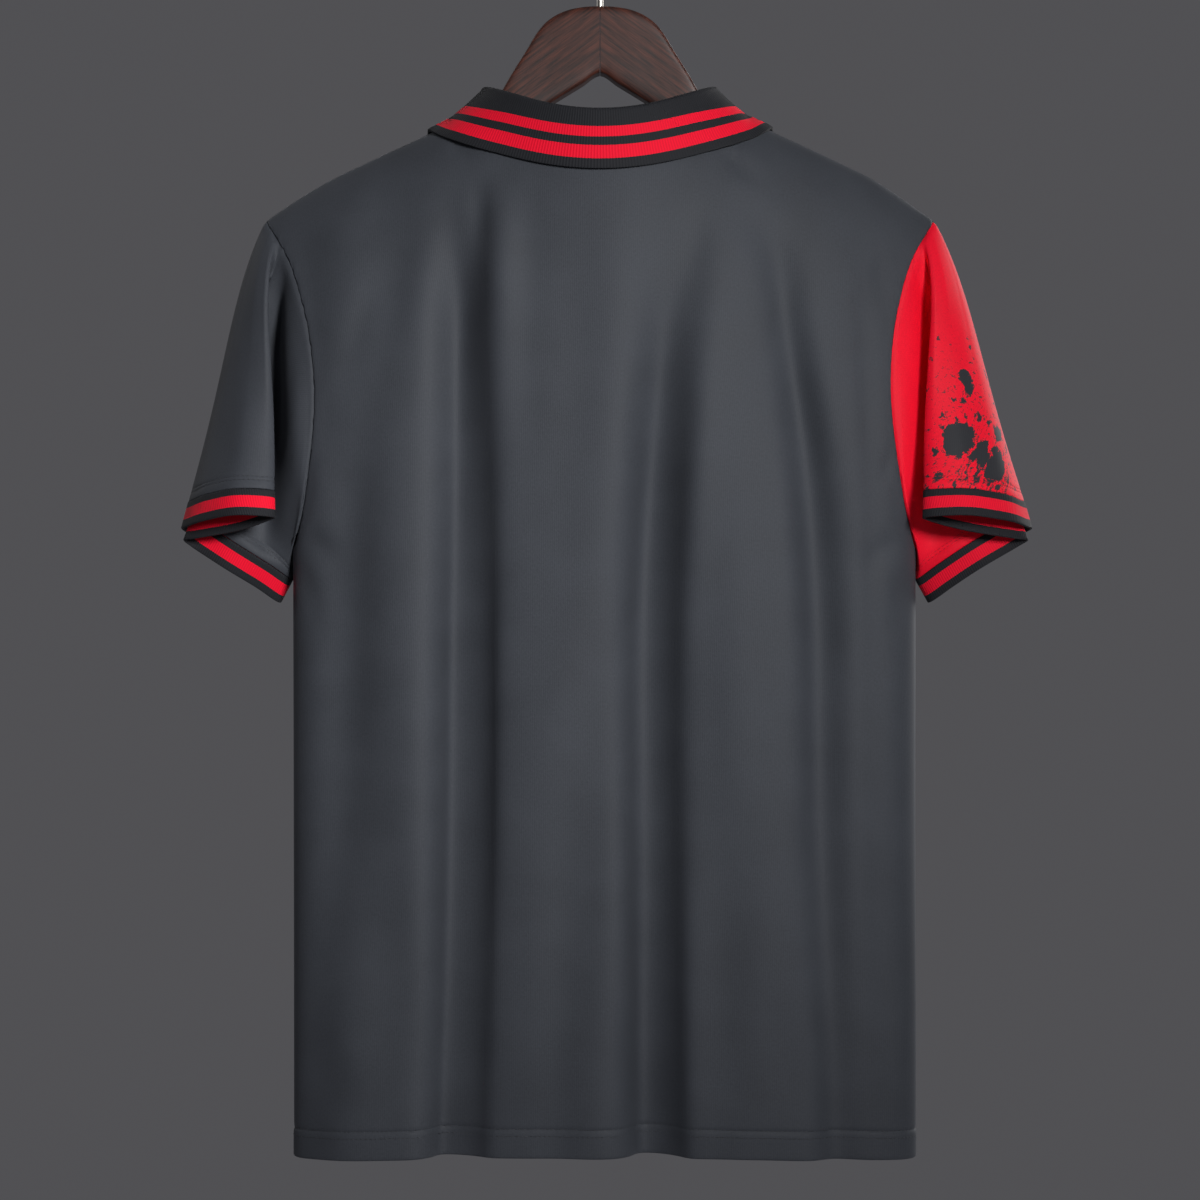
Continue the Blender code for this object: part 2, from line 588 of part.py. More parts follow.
def collar_grid(fall_rows):
    """Rows from the neck seam up the stand, over the fold and down the fall."""
    seam = neck_line()
    count = len(seam)
    length = np.concatenate([[0.0], np.cumsum(np.linalg.norm(np.diff(seam, axis=0), axis=1))])
    share = np.abs(2 * length / length[-1] - 1)
    rise, lean, fall, slope = (from_table(COLLAR, "share", c, share)[:, None]
                               for c in ("rise", "lean", "fall", "slope_deg"))
    tangent = unit(smooth_ends(np.gradient(seam, axis=0)))
    outward = unit(np.stack([-tangent[:, 1], tangent[:, 0], np.zeros(count)], axis=-1))
    centre = np.array([0.0, 0.0, 0.0])
    outward *= np.sign(((seam - centre) * outward)[:, :2].sum(1))[:, None]
    up = np.array([0.0, 0.0, 1.0])
    _, normal = above_cloth(seam)
    inward = unit(np.cross(tangent, normal))
    inward *= np.sign((inward * (up - outward)).sum(1))[:, None]
    turned = np.sqrt(1 - np.clip(inward[:, 2:3], 0, 1) ** 2)
    base = seam + inward * (COLLAR_SEAM_END + COLLAR_SEAM_SIDE * turned)
    crest = seam + up * rise + outward * lean
    tangent = unit(np.gradient(crest, axis=0))
    outward = unit(outward - (outward * tangent).sum(1, keepdims=True) * tangent)
    down = np.cross(tangent, outward)
    down *= -np.sign(down[:, 2:3])
    angle = np.radians(slope)
    drop = unit(outward * np.cos(angle) + down * np.sin(angle))
    bend = COLLAR_FOLD_RADIUS
    rows = [base + (crest - base) * s for s in (0.0, 0.5, 1.0)]
    rows += [crest + outward * bend * (1 - math.cos(a)) - down * bend * math.sin(a)
             for a in np.radians([60.0, 120.0])]
    start = crest + outward * 2 * bend
    rows += [start + drop * fall * s for s in np.linspace(0.02, 1, fall_rows + 1)]
    grid = np.array(rows)
    grid[5:] = lifted(grid[5:], COLLAR_CLEAR)
    return grid


def add_collar():
    return add_cloth("collar", collar_grid(4), RIB_WALL, "rib")


# ---------------------------------------------------------------- placket
def front_surface(x, z, out):
    """Points of the front panel moved out along its normal."""
    step = 0.001
    here = body_points("front", x, z)
    beside = body_points("front", x + step, z) - here
    above = body_points("front", x, z + step) - here
    return here + unit(np.cross(above, beside)) * out


def placket_grid(out):
    columns = np.linspace(-PLACKET_HALF_WIDTH, PLACKET_HALF_WIDTH, 5)
    shares = np.linspace(0, 1, 13)[:, None]
    top = neck_z("front", columns)[None, :] - SEAM_GAP
    z = PLACKET_FOOT_Z + shares * (top - PLACKET_FOOT_Z)
    return front_surface(np.broadcast_to(columns[None, :], z.shape), z, out)


def add_placket():
    """The upper band covers the slit from outside, and the under band closes it from inside."""
    apart = JERSEY_WALL + LAY_GAP
    add_cloth("placket_upper", placket_grid(apart), JERSEY_WALL, "charcoal")
    add_cloth("placket_under", placket_grid(-apart), JERSEY_WALL, "charcoal")


def add_buttons():
    """Round buttons that stand on the upper band, facing square out of it."""
    seat = JERSEY_WALL * 1.5 + LAY_GAP * 2 + BUTTON_THICKNESS / 2
    for number, z in enumerate(BUTTON_Z, start=1):
        spot = np.array([0.0]), np.array([z])
        middle = front_surface(*spot, seat)[0]
        normal = unit(middle - front_surface(*spot, 0.0)[0])
        bpy.ops.mesh.primitive_cylinder_add(vertices=16, radius=BUTTON_DIAMETER / 2,
                                            depth=BUTTON_THICKNESS, location=middle)
        obj = bpy.context.object
        obj.name = f"button_{number}"
        obj.rotation_euler = (math.acos(normal[2]), 0.0, math.atan2(normal[1], normal[0]) + math.pi / 2)
        obj.data.materials.append(material("button"))
        for holder in obj.users_collection:
            holder.objects.unlink(obj)
        bpy.data.collections["training_jersey"].objects.link(obj)
        rim = obj.modifiers.new("rim", "BEVEL")
        rim.width = 0.0006
        rim.segments = 1
        rim.limit_method = "ANGLE"


# ---------------------------------------------------------------- hanger
def hanger_section_values():
    """x, top, bottom and thickness of each section of a half, the arm's from the shoulder line."""
    rows = [(s.x, s.top, s.bottom, s.thickness) for s in HANGER_SECTIONS]
    for x in (0.085, 0.100, 0.120, 0.140, 0.160, 0.180, 0.197, 0.209, 0.216, 0.2198, HANGER_REACH):
        top = float(ridge_z(-x)) - HANGER_SEAT
        deep = float(through(*zip(*ARM_DEPTHS), x))
        thick = float(through(*zip(*ARM_THICKNESSES), x))
        round_off = math.sqrt(max(1 - max((x - 0.209) / (HANGER_REACH + 0.0006 - 0.209), 0) ** 2, 0))
        middle = top - deep / 2
        rows.append((x, middle + deep / 2 * round_off, middle - deep / 2 * round_off, thick * round_off))
    return np.array(rows)


def hanger_grid(right):
    """Rings of a rounded box section, from the glued joint to the arm's end."""
    sign = 1.0 if right else -1.0
    x, top, bottom, thickness = hanger_section_values().T
    turn = np.linspace(0, 2 * math.pi, 16, endpoint=False) + math.pi / 16
    power = 2 / 4.5
    side = np.sign(np.cos(turn)) * np.abs(np.cos(turn)) ** power
    rise = np.sign(np.sin(turn)) * np.abs(np.sin(turn)) ** power
    middle = (top + bottom) / 2
    z = middle[:, None] + rise[None, :] * ((top - bottom) / 2)[:, None]
    y = shoulder_forward(x, np.full_like(x, SHOULDER_TIP_Z))[:, None] + side[None, :] * thickness[:, None] / 2
    x = np.broadcast_to(np.maximum(x, HANGER_JOINT_GAP / 2)[:, None], z.shape)
    under_cloth = surface_z(-x, y) - HANGER_SEAT
    z = np.where(x > NECK_HALF_WIDTH - 0.0005, np.minimum(z, under_cloth), z)
    return np.stack([sign * x, y, z], axis=-1)


def add_hanger_half(right):
    name = "hanger_right" if right else "hanger_left"
    grid = hanger_grid(right)
    mesh = grid_mesh(name, grid, ring=True)
    shape = bmesh.new()
    shape.from_mesh(mesh)
    bmesh.ops.holes_fill(shape, edges=[e for e in shape.edges if e.is_boundary], sides=0)
    bmesh.ops.recalc_face_normals(shape, faces=shape.faces)
    shape.to_mesh(mesh)
    shape.free()
    mesh.set_sharp_from_angle(angle=math.radians(50))
    return add_object(name, mesh, "wood")


def add_hook():
    """Round steel wire: a shank, a bend to one side and an open round over the rail."""
    radius = HOOK_INNER_RADIUS + HOOK_WIRE / 2
    centre_z = -HOOK_INNER_RADIUS
    turn = np.radians(np.linspace(HOOK_JOIN_DEG, HOOK_TIP_DEG, 26))
    loop = np.stack([radius * np.cos(turn), centre_z + radius * np.sin(turn)], axis=-1)
    foot = np.array([0.0, HANGER_SECTIONS[0].top + SEAM_GAP])
    knee = np.array([0.0, -0.0500])
    t = np.linspace(0, 1, 7)[:, None]
    way = np.array([-math.sin(turn[0]), math.cos(turn[0])])
    reach = 0.020
    bend = ((2 * t**3 - 3 * t**2 + 1) * knee + (t**3 - 2 * t**2 + t) * reach * np.array([0.0, 1.0])
            + (3 * t**2 - 2 * t**3) * loop[0] + (t**3 - t**2) * reach * way)
    route = np.concatenate([[foot], bend[:-1], loop])
    curve = bpy.data.curves.new("hanger_hook", "CURVE")
    curve.dimensions = "3D"
    curve.bevel_depth = HOOK_WIRE / 2
    curve.bevel_resolution = 2
    curve.use_fill_caps = True
    spline = curve.splines.new("POLY")
    spline.points.add(len(route) - 1)
    for point, (x, z) in zip(spline.points, route):
        point.co = (x, 0.0, z, 1.0)
    return add_object("hanger_hook", curve, "steel")


# ---------------------------------------------------------------- build
def main():
    for obj in list(bpy.data.objects):
        bpy.data.objects.remove(obj)
    collection = bpy.data.collections.new("training_jersey")
    bpy.context.scene.collection.children.link(collection)
    add_back_panel()
    add_front_panel()
    add_sleeve(True)
    add_sleeve(False)
    add_collar()
    add_placket()
    add_buttons()
    add_hanger_half(True)
    add_hanger_half(False)
    add_hook()


main()
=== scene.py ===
"""The looks of a short-sleeved training jersey on a wooden hanger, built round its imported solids.

Every piece of cloth is a thin wall on the form of its solid, finer, and with the creases, the
turned hem, the seams and the stitching of the real garment. All shapes are worked out from the
named sizes below. Metres, +Z up. The garment's back faces -Y, so +X is the wearer's right, and
the origin is the point inside the top of the hook where a rail carries the hanger.
"""

import math
from collections import namedtuple

import bpy
import numpy as np
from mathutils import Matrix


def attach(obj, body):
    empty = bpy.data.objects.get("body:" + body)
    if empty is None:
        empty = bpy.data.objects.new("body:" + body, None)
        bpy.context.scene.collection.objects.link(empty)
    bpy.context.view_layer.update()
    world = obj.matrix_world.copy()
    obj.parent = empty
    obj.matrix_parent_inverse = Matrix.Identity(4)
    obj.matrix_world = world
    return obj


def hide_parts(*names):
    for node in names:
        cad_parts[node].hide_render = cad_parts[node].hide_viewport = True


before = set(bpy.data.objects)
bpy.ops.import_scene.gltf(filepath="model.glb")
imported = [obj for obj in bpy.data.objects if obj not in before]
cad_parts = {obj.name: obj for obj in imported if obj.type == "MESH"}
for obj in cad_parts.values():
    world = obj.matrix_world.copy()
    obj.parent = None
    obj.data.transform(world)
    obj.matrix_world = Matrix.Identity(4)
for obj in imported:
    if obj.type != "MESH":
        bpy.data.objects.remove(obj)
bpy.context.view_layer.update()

bl_info = {
    "name": "Training jersey on a hanger",
    "version": (1, 0, 0),
    "blender": (4, 5, 0),
    "location": "View3D > Sidebar > Jersey",
    "description": "Builds the cloth, ribbing, sewing, buttons, hanger and studio of a jersey",
    "category": "Add Mesh",
}

# ---------------------------------------------------------------- body, as in the solids
SEAM_GAP = 0.0004
BODY_HALF_WIDTH = 0.2166
BODY_SHIFT = 0.0032         # the lower body hangs this far to the wearer's right
HEM_Z = -0.863
BACK_HEM_RISE = 0.0055
HEM_TWIN = 0.0048           # between the two rows of stitches over the hem
ARMPIT_Z = -0.440
SHOULDER_TIP_X = 0.2338
SHOULDER_TIP_Z = -0.2090
PANEL_HEIGHT = SHOULDER_TIP_Z - HEM_Z
SECTION_POWER = 2.6         # a superellipse: fuller than an oval, with rounded sides
TIP_SECTION_WIDTH = 0.245
SHOULDER_FORWARD = 0.010
NECK_HALF_WIDTH = 0.0800
NECK_SIDE_Z = -0.1302
BACK_NECK_DROP = 0.0325
FRONT_NECK_DROP = 0.0915
FRONT_NECK_POWER = 0.72     # under 1: the front neckline is rounder than the back's
RIGHT_SHOULDER_LIFT = 0.0022
LIFT_START_X, LIFT_RISE = 0.085, 0.035      # it grows from here, over this width
LIFT_END_X, LIFT_FALL = 0.185, 0.045        # and dies away from here, over this width

# The ridge of the shoulders, from the centre line to past the shoulder's tip.
RidgePoint = namedtuple("RidgePoint", "half_width z")
SHOULDER_RIDGE = [
    RidgePoint(0.0000, -0.1060),
    RidgePoint(0.0450, -0.1160),
    RidgePoint(NECK_HALF_WIDTH, NECK_SIDE_Z),
    RidgePoint(0.1225, -0.1508),
    RidgePoint(0.1596, -0.1676),
    RidgePoint(0.1946, -0.1844),
    RidgePoint(0.2223, -0.2012),
    RidgePoint(SHOULDER_TIP_X, SHOULDER_TIP_Z),
    RidgePoint(0.2600, -0.2320),
]

# How far below the ridge the cloth has left the middle plane: a short length is a tight roll.
LeavePoint = namedtuple("LeavePoint", "half_width length")
RIDGE_LEAVE = [
    LeavePoint(0.000, 0.060),
    LeavePoint(0.070, 0.080),
    LeavePoint(0.150, 0.100),
    LeavePoint(0.260, 0.100),
]

# From the middle plane to the back and to the front, at each height.
DepthPoint = namedtuple("DepthPoint", "z back front")
BODY_DEPTH = [
    DepthPoint(-0.900, 0.050, 0.049),
    DepthPoint(-0.700, 0.054, 0.052),
    DepthPoint(-0.450, 0.060, 0.057),
    DepthPoint(-0.250, 0.064, 0.061),
    DepthPoint(-0.100, 0.064, 0.061),
]

# Half widths of the back and of the front along the armhole.
ArmholePoint = namedtuple("ArmholePoint", "z back front")
ARMHOLE = [
    ArmholePoint(ARMPIT_Z, BODY_HALF_WIDTH, BODY_HALF_WIDTH),
    ArmholePoint(-0.4360, 0.2145, 0.2130),
    ArmholePoint(-0.4280, 0.2118, 0.2095),
    ArmholePoint(-0.3830, 0.2030, 0.1975),
    ArmholePoint(-0.3230, 0.1985, 0.1915),
    ArmholePoint(-0.2700, 0.2060, 0.2000),
    ArmholePoint(-0.2350, 0.2180, 0.2150),
    ArmholePoint(SHOULDER_TIP_Z, SHOULDER_TIP_X, SHOULDER_TIP_X),
]

# The large troughs that run down the panels, as in the solids. A fold leaves its top, is at mid_x
# halfway down and ends at foot_x. It is deepest at the share `full` of its length and keeps the
# share `foot_share` of its depth at the foot. A ridge has a negative depth.
Fold = namedtuple("Fold", "top_x top_z mid_x foot_x foot_z depth width full foot_share")
BACK_FOLDS = [
    Fold(-0.082, -0.180, -0.078, -0.084, -0.900, 0.0150, 0.024, 0.50, 1.00),
    Fold(0.066, -0.200, 0.046, 0.052, -0.900, 0.0125, 0.026, 0.50, 1.00),
    Fold(-0.135, -0.230, -0.181, -0.206, -0.900, 0.0075, 0.020, 0.35, 0.55),
    Fold(0.108, -0.230, 0.158, 0.172, -0.900, 0.0075, 0.022, 0.35, 0.60),
    Fold(0.016, -0.420, -0.030, -0.034, -0.900, 0.0035, 0.020, 0.60, 1.00),
]
FRONT_FOLDS = [
    Fold(-0.100, -0.230, -0.088, -0.074, -0.900, 0.0130, 0.026, 0.50, 1.00),
    Fold(0.092, -0.240, 0.072, 0.066, -0.900, 0.0120, 0.027, 0.50, 1.00),
    Fold(-0.140, -0.260, -0.172, -0.176, -0.900, 0.0070, 0.022, 0.40, 0.60),
    Fold(0.146, -0.250, 0.170, 0.184, -0.900, 0.0070, 0.022, 0.40, 0.60),
    Fold(-0.006, -0.450, -0.012, -0.004, -0.900, 0.0060, 0.024, 0.55, 1.00),
]

# ---------------------------------------------------------------- creases, in the looks only
# Steep valleys in the back's large troughs, with the ridges that stand beside them.
BACK_VALLEYS = [
    Fold(-0.0970, -0.180, -0.0980, -0.1060, -0.900, 0.0195, 0.0175, 0.16, 1.00),
    Fold(-0.0710, -0.180, -0.0700, -0.0765, -0.900, -0.0065, 0.016, 0.12, 1.00),
    Fold(0.0540, -0.200, 0.0320, 0.0355, -0.900, 0.0190, 0.0165, 0.34, 1.00),
    Fold(0.0780, -0.200, 0.0550, 0.0585, -0.900, -0.0065, 0.016, 0.30, 1.00),
    Fold(0.1170, -0.200, 0.1490, 0.1600, -0.900, 0.0120, 0.012, 0.22, 0.60),
    Fold(0.1800, -0.200, 0.1850, 0.1960, -0.900, 0.0030, 0.009, 0.20, 0.50),
]
# A crease is a soft trough from one point to another in the view from behind. It bows to one side,
# is deepest at the share `rise` of its length and widens towards its second end.
Crease = namedtuple("Crease", "x1 z1 x2 z2 bow depth width rise")
BACK_CREASES = [
    Crease(0.0880, -0.1640, 0.1120, -0.1930, 0.002, 0.0018, 0.0045, 0.20),
    Crease(0.0940, -0.1600, 0.1260, -0.1800, 0.001, -0.0008, 0.0060, 0.20),
    Crease(-0.1060, -0.1600, -0.0820, -0.1700, 0.001, 0.0014, 0.0040, 0.30),
    Crease(-0.0820, -0.1760, -0.0790, -0.3200, 0.001, 0.0034, 0.0075, 0.25),
    Crease(-0.0640, -0.1800, -0.0600, -0.3400, 0.000, -0.0012, 0.0100, 0.30),
    Crease(0.0700, -0.1900, 0.0600, -0.3400, 0.002, 0.0022, 0.0110, 0.35),
    Crease(0.0860, -0.1900, 0.1430, -0.2900, -0.006, 0.0022, 0.0110, 0.45),
    Crease(-0.1180, -0.2000, -0.1640, -0.3500, 0.006, 0.0030, 0.0130, 0.45),
    Crease(-0.1500, -0.2350, -0.1820, -0.3600, 0.004, 0.0016, 0.0080, 0.45),
    Crease(0.1960, -0.2250, 0.1930, -0.2950, 0.002, 0.0013, 0.0060, 0.30),
    Crease(0.2020, -0.3720, 0.1900, -0.4020, 0.002, 0.0016, 0.0040, 0.20),
    Crease(0.2040, -0.4300, 0.1700, -0.4700, 0.003, 0.0016, 0.0070, 0.20),
    Crease(-0.2080, -0.4260, -0.1780, -0.4640, -0.003, 0.0018, 0.0065, 0.20),
    Crease(-0.2120, -0.4450, -0.1960, -0.5200, -0.003, 0.0014, 0.0060, 0.25),
    Crease(-0.2010, -0.3500, -0.1800, -0.4700, 0.004, -0.0015, 0.0100, 0.40),
    Crease(0.2120, -0.4480, 0.1960, -0.5300, 0.003, 0.0014, 0.0060, 0.25),
    Crease(-0.1980, -0.7600, -0.1700, -0.8400, 0.002, 0.0014, 0.0110, 0.50),
    Crease(0.1200, -0.7300, 0.1340, -0.8500, 0.002, 0.0012, 0.0120, 0.50),
    Crease(-0.1330, -0.6600, -0.1230, -0.8500, 0.003, 0.0013, 0.0120, 0.60),
    Crease(0.0080, -0.5200, 0.0120, -0.8500, 0.002, -0.0012, 0.0180, 0.50),
]
FRONT_CREASES = [
    Crease(-0.0820, -0.1760, -0.1120, -0.2350, 0.003, 0.0022, 0.0075, 0.25),
    Crease(0.0840, -0.1800, 0.1060, -0.2400, 0.002, 0.0018, 0.0070, 0.30),
    Crease(0.1150, -0.2000, 0.1560, -0.3300, 0.005, 0.0026, 0.0120, 0.45),
    Crease(-0.1200, -0.2050, -0.1640, -0.3400, -0.005, 0.0022, 0.0115, 0.40),
    Crease(-0.1980, -0.3700, -0.1640, -0.4200, 0.003, 0.0018, 0.0060, 0.20),
    Crease(0.1990, -0.3900, 0.1600, -0.4450, 0.003, 0.0020, 0.0065, 0.20),
    Crease(0.2100, -0.4460, 0.1900, -0.5350, 0.003, 0.0015, 0.0070, 0.25),
    Crease(-0.2100, -0.4460, -0.1860, -0.5100, -0.003, 0.0013, 0.0060, 0.25),
    Crease(-0.0160, -0.3790, -0.0420, -0.4900, 0.003, 0.0018, 0.0100, 0.25),
    Crease(0.0160, -0.3800, 0.0330, -0.4700, 0.003, 0.0014, 0.0085, 0.25),
    Crease(0.1300, -0.7000, 0.1180, -0.8500, 0.002, 0.0014, 0.0120, 0.55),
    Crease(-0.1500, -0.7400, -0.1350, -0.8450, 0.002, 0.0012, 0.0110, 0.50),
]
# On the sleeves x is counted outwards from the garment's centre line. The pleat hides part of the
# back, so its under layer, its over layer and the front have creases of their own.
UNDER_LAYER_CREASES = [
    Crease(0.2290, -0.2180, 0.2330, -0.4700, -0.008, 0.0080, 0.0110, 0.25),
    Crease(0.2320, -0.2500, 0.2300, -0.4700, -0.004, 0.0075, 0.0110, 0.50),
    Crease(0.2060, -0.2900, 0.2060, -0.4200, -0.003, -0.0012, 0.0060, 0.50),
    Crease(0.2420, -0.3700, 0.2300, -0.4600, 0.002, 0.0020, 0.0070, 0.60),
]
LEFT_UNDER_DEEPER = 1.9     # the left sleeve's under layer is pressed in this many times more
OVER_LAYER_CREASES = [
    Crease(0.2450, -0.2500, 0.2430, -0.3800, 0.002, 0.0016, 0.0070, 0.45),
    Crease(0.2560, -0.2900, 0.2640, -0.4020, 0.003, 0.0014, 0.0090, 0.60),
]
FRONT_SLEEVE_CREASES = [
    Crease(0.2290, -0.2300, 0.2180, -0.4100, -0.006, 0.0034, 0.0085, 0.40),
    Crease(0.2450, -0.2500, 0.2540, -0.4100, 0.003, 0.0028, 0.0090, 0.50),
    Crease(0.2260, -0.3600, 0.2480, -0.4400, 0.002, 0.0018, 0.0065, 0.40),
]

# ---------------------------------------------------------------- sleeves and cuffs
# A sleeve's threads are straight lines from the armhole to the cuff. Thread 0 starts at the armpit,
# 0.5 at the shoulder's tip, past the back, and 1 at the armpit again, past the front.
CUFF_HEIGHT = 0.0195
ARMHOLE_GAP = 0.0009
ARMPIT_GAP = 0.0023
ARMPIT_REACH = 0.15         # in threads, where the gap is wider
ARMPIT_CROWD = 0.07         # in threads, where they crowd
ARMPIT_CLEAR_ROW = -16      # the ring, counted from the cuff, whose directions serve there
CAP_PUFF = 0.0046           # the sleeve's head stands out by this
PLEAT_FOLD = 0.436          # the thread at the pleat's hidden fold
PLEAT_EDGE = 0.460          # and at its showing edge
PLEAT_SHOULDER = 0.4985     # and where its over layer ends

# The seam between sleeve and cuff. `open` is how far the pleat stands open above it.
CuffPoint = namedtuple("CuffPoint", "thread right_x left_x y z open")
CUFF_SEAM = [
    CuffPoint(0.000, 0.2218, 0.2160, 0.002, -0.4600, 0.000),
    CuffPoint(0.110, 0.2350, 0.2300, -0.009, -0.4502, 0.000),
    CuffPoint(0.250, 0.2560, 0.2525, -0.014, -0.4358, 0.000),
    CuffPoint(0.390, 0.2825, 0.2760, -0.008, -0.4205, -0.002),
    CuffPoint(0.436, 0.2915, 0.2832, -0.009, -0.4150, -0.004),
    CuffPoint(0.440, 0.2865, 0.2785, -0.015, -0.4135, -0.003),
    CuffPoint(0.448, 0.2550, 0.2510, -0.028, -0.4085, 0.002),
    CuffPoint(0.456, 0.2285, 0.2300, -0.038, -0.4020, 0.007),
    CuffPoint(0.460, 0.2225, 0.2240, -0.043, -0.4000, 0.009),
    CuffPoint(0.464, 0.2280, 0.2290, -0.048, -0.3990, 0.009),
    CuffPoint(0.476, 0.2520, 0.2490, -0.049, -0.3985, 0.006),
    CuffPoint(0.490, 0.2790, 0.2710, -0.034, -0.4020, 0.001),
    CuffPoint(0.496, 0.2910, 0.2825, -0.018, -0.4055, 0.000),
    CuffPoint(0.500, 0.2960, 0.2870, -0.002, -0.4065, 0.000),
    CuffPoint(0.515, 0.2920, 0.2840, 0.014, -0.4095, 0.000),
    CuffPoint(0.600, 0.2710, 0.2675, 0.030, -0.4180, 0.000),
    CuffPoint(0.740, 0.2480, 0.2450, 0.035, -0.4300, 0.000),
    CuffPoint(0.870, 0.2315, 0.2280, 0.028, -0.4426, 0.000),
    CuffPoint(0.960, 0.2240, 0.2180, 0.015, -0.4546, 0.000),
]
TWIN_STITCHES = (0.0062, 0.0088)    # above the cuff seam
CUFF_STRIPES = [(0.0050, 0.0134)]   # start and end of the red rows, from the sleeve's seam

# ---------------------------------------------------------------- collar
# From the centre back, share 0, to the front ends, share 1: how high the stand rises and leans
# outwards, how long the fall is and how steeply it hangs.
CollarPoint = namedtuple("CollarPoint", "share rise lean fall slope_deg")
COLLAR = [
    CollarPoint(0.00, 0.0205, 0.0040, 0.0385, 91.0),
    CollarPoint(0.22, 0.0178, 0.0025, 0.0398, 80.0),
    CollarPoint(0.42, 0.0108, -0.0015, 0.0460, 43.0),
    CollarPoint(0.62, 0.0130, 0.0010, 0.0500, 60.0),
    CollarPoint(0.82, 0.0110, 0.0050, 0.0560, 78.0),
    CollarPoint(1.00, 0.0090, 0.0050, 0.0600, 80.0),
]
COLLAR_FOLD_RADIUS = 0.0021
COLLAR_STEP = 0.0030        # between its columns, along the neck
COLLAR_END_X = 0.0080
COLLAR_SEAM_END = 0.0004    # from the neck's edge to the stand at the front ends
COLLAR_SEAM_SIDE = 0.0014   # and this much more at the neck's sides, where the cloth lies flat
COLLAR_CLEAR = 0.0024       # the fall stays at least this far off the middle of the shoulders' cloth
COLLAR_FOLD_ROW = 12        # the ribs are counted along this row
COLLAR_STRIPES = [(0.0065, 0.0153), (0.0212, 0.0283)]   # red rows, from the outer edge
COLLAR_RAMP = 0.100         # longer than the collar is high: what its colour ramp spans

# ---------------------------------------------------------------- placket and buttons
PLACKET_HALF_WIDTH = 0.0160
PLACKET_FOOT_Z = -0.3800
SLIT_HALF_WIDTH = 0.0120
SLIT_FOOT_Z = -0.3640
EDGE_STITCH = 0.0016        # in from the band's edge
BOX_STITCH_HEIGHT = 0.0130
LAY_GAP = 0.0005
BUTTON_DIAMETER = 0.0115
BUTTON_THICKNESS = 0.0024
BUTTON_Z = [-0.2420, -0.2960, -0.3500]
BUTTON_HOLE_SPREAD = 0.0013     # from the button's middle to each thread hole
BUTTON_HOLE_RADIUS = 0.0007
BUTTON_HOLE_DEPTH = 0.0013
BUTTON_FACE_ROWS = 16           # rows of its dished face, inside the rim
BUTTONHOLE_LENGTH = 0.0150

# ---------------------------------------------------------------- hanger
HANGER_JOINT_GAP = 0.0003
HANGER_REACH = 0.2215
HANGER_ARM_X = 0.085        # where the crown ends and the arm follows the shoulder
HANGER_END_X = 0.209        # where the arm's end starts to round off
HANGER_SEAT = 0.0028        # the wood lies this far under the middle of the cloth
HANGER_POWER = 8            # a superellipse: a box section with rounded edges
JOINT_CHAMFER = 0.0002
HangerSection = namedtuple("HangerSection", "x top bottom thickness")
HANGER_SECTIONS = [
    HangerSection(0.0000, -0.0606, -0.1075, 0.0200),
    HangerSection(0.0125, -0.0612, -0.1151, 0.0200),
    HangerSection(0.0235, -0.0636, -0.1218, 0.0200),
    HangerSection(0.0320, -0.0675, -0.1270, 0.0200),
    HangerSection(0.0394, -0.0732, -0.1314, 0.0201),
    HangerSection(0.0456, -0.0812, -0.1348, 0.0203),
    HangerSection(0.0516, -0.0915, -0.1378, 0.0205),
    HangerSection(0.0584, -0.1022, -0.1410, 0.0208),
    HangerSection(0.0660, -0.1150, -0.1450, 0.0205),
    HangerSection(0.0720, -0.1262, -0.1494, 0.0190),
    HangerSection(0.0770, -0.1365, -0.1535, 0.0170),
]
ARM_START_DEPTH = 0.0205    # of the crown where it meets the arm
ARM_START_THICKNESS = 0.0162
# Pairs of x and size, along the arm.
ARM_DEPTHS = [(0.083, 0.0205), (0.120, 0.0200), (0.160, 0.0195), (0.195, 0.0190), (0.215, 0.0175)]
ARM_THICKNESSES = [(0.083, 0.0160), (0.105, 0.0200), (0.150, 0.0210), (0.195, 0.0210),
                   (0.2215, 0.0200)]
HOOK_WIRE = 0.0046
HOOK_INNER_RADIUS = 0.0190
HOOK_TIP_DEG = 212.0
HOOK_JOIN_DEG = -48.0
HOOK_NECK_Z = -0.0560       # the shank is straight up to here
HOOK_KNEE_Z = -0.0500
HOOK_BEND_PULL = 0.020      # length of the bend's end slopes: longer is rounder
HOOK_SUNK = 0.0020          # the shank's foot goes this far into the wood

# ---------------------------------------------------------------- floor and camera
FLOOR_RADIUS = 4.6          # so small that its far edge stays under the photo's frame
CAMERA_DISTANCE = 2.2
CAMERA_Z = -0.475
CAMERA_LENS_MM = 94.3
CAMERA_SENSOR_MM = 36.0


def linear(code):
    """An sRGB hex colour as the linear values that shaders take."""
    values = [int(code[i:i + 2], 16) / 255 for i in (1, 3, 5)]
    return tuple(v / 12.92 if v <= 0.04045 else ((v + 0.055) / 1.055) ** 2.4 for v in values)


def colour_property(name, description, code):
    """A colour that a user may change, from its sRGB hex code."""
    return bpy.props.FloatVectorProperty(name=name, description=description, default=linear(code),
                                         subtype="COLOR", size=3, min=0.0, max=1.0)


def length_property(name, description, default):
    """A length in metres that a user may change."""
    return bpy.props.FloatProperty(name=name, description=description, default=default,
                                   subtype="DISTANCE", unit="LENGTH", precision=5)


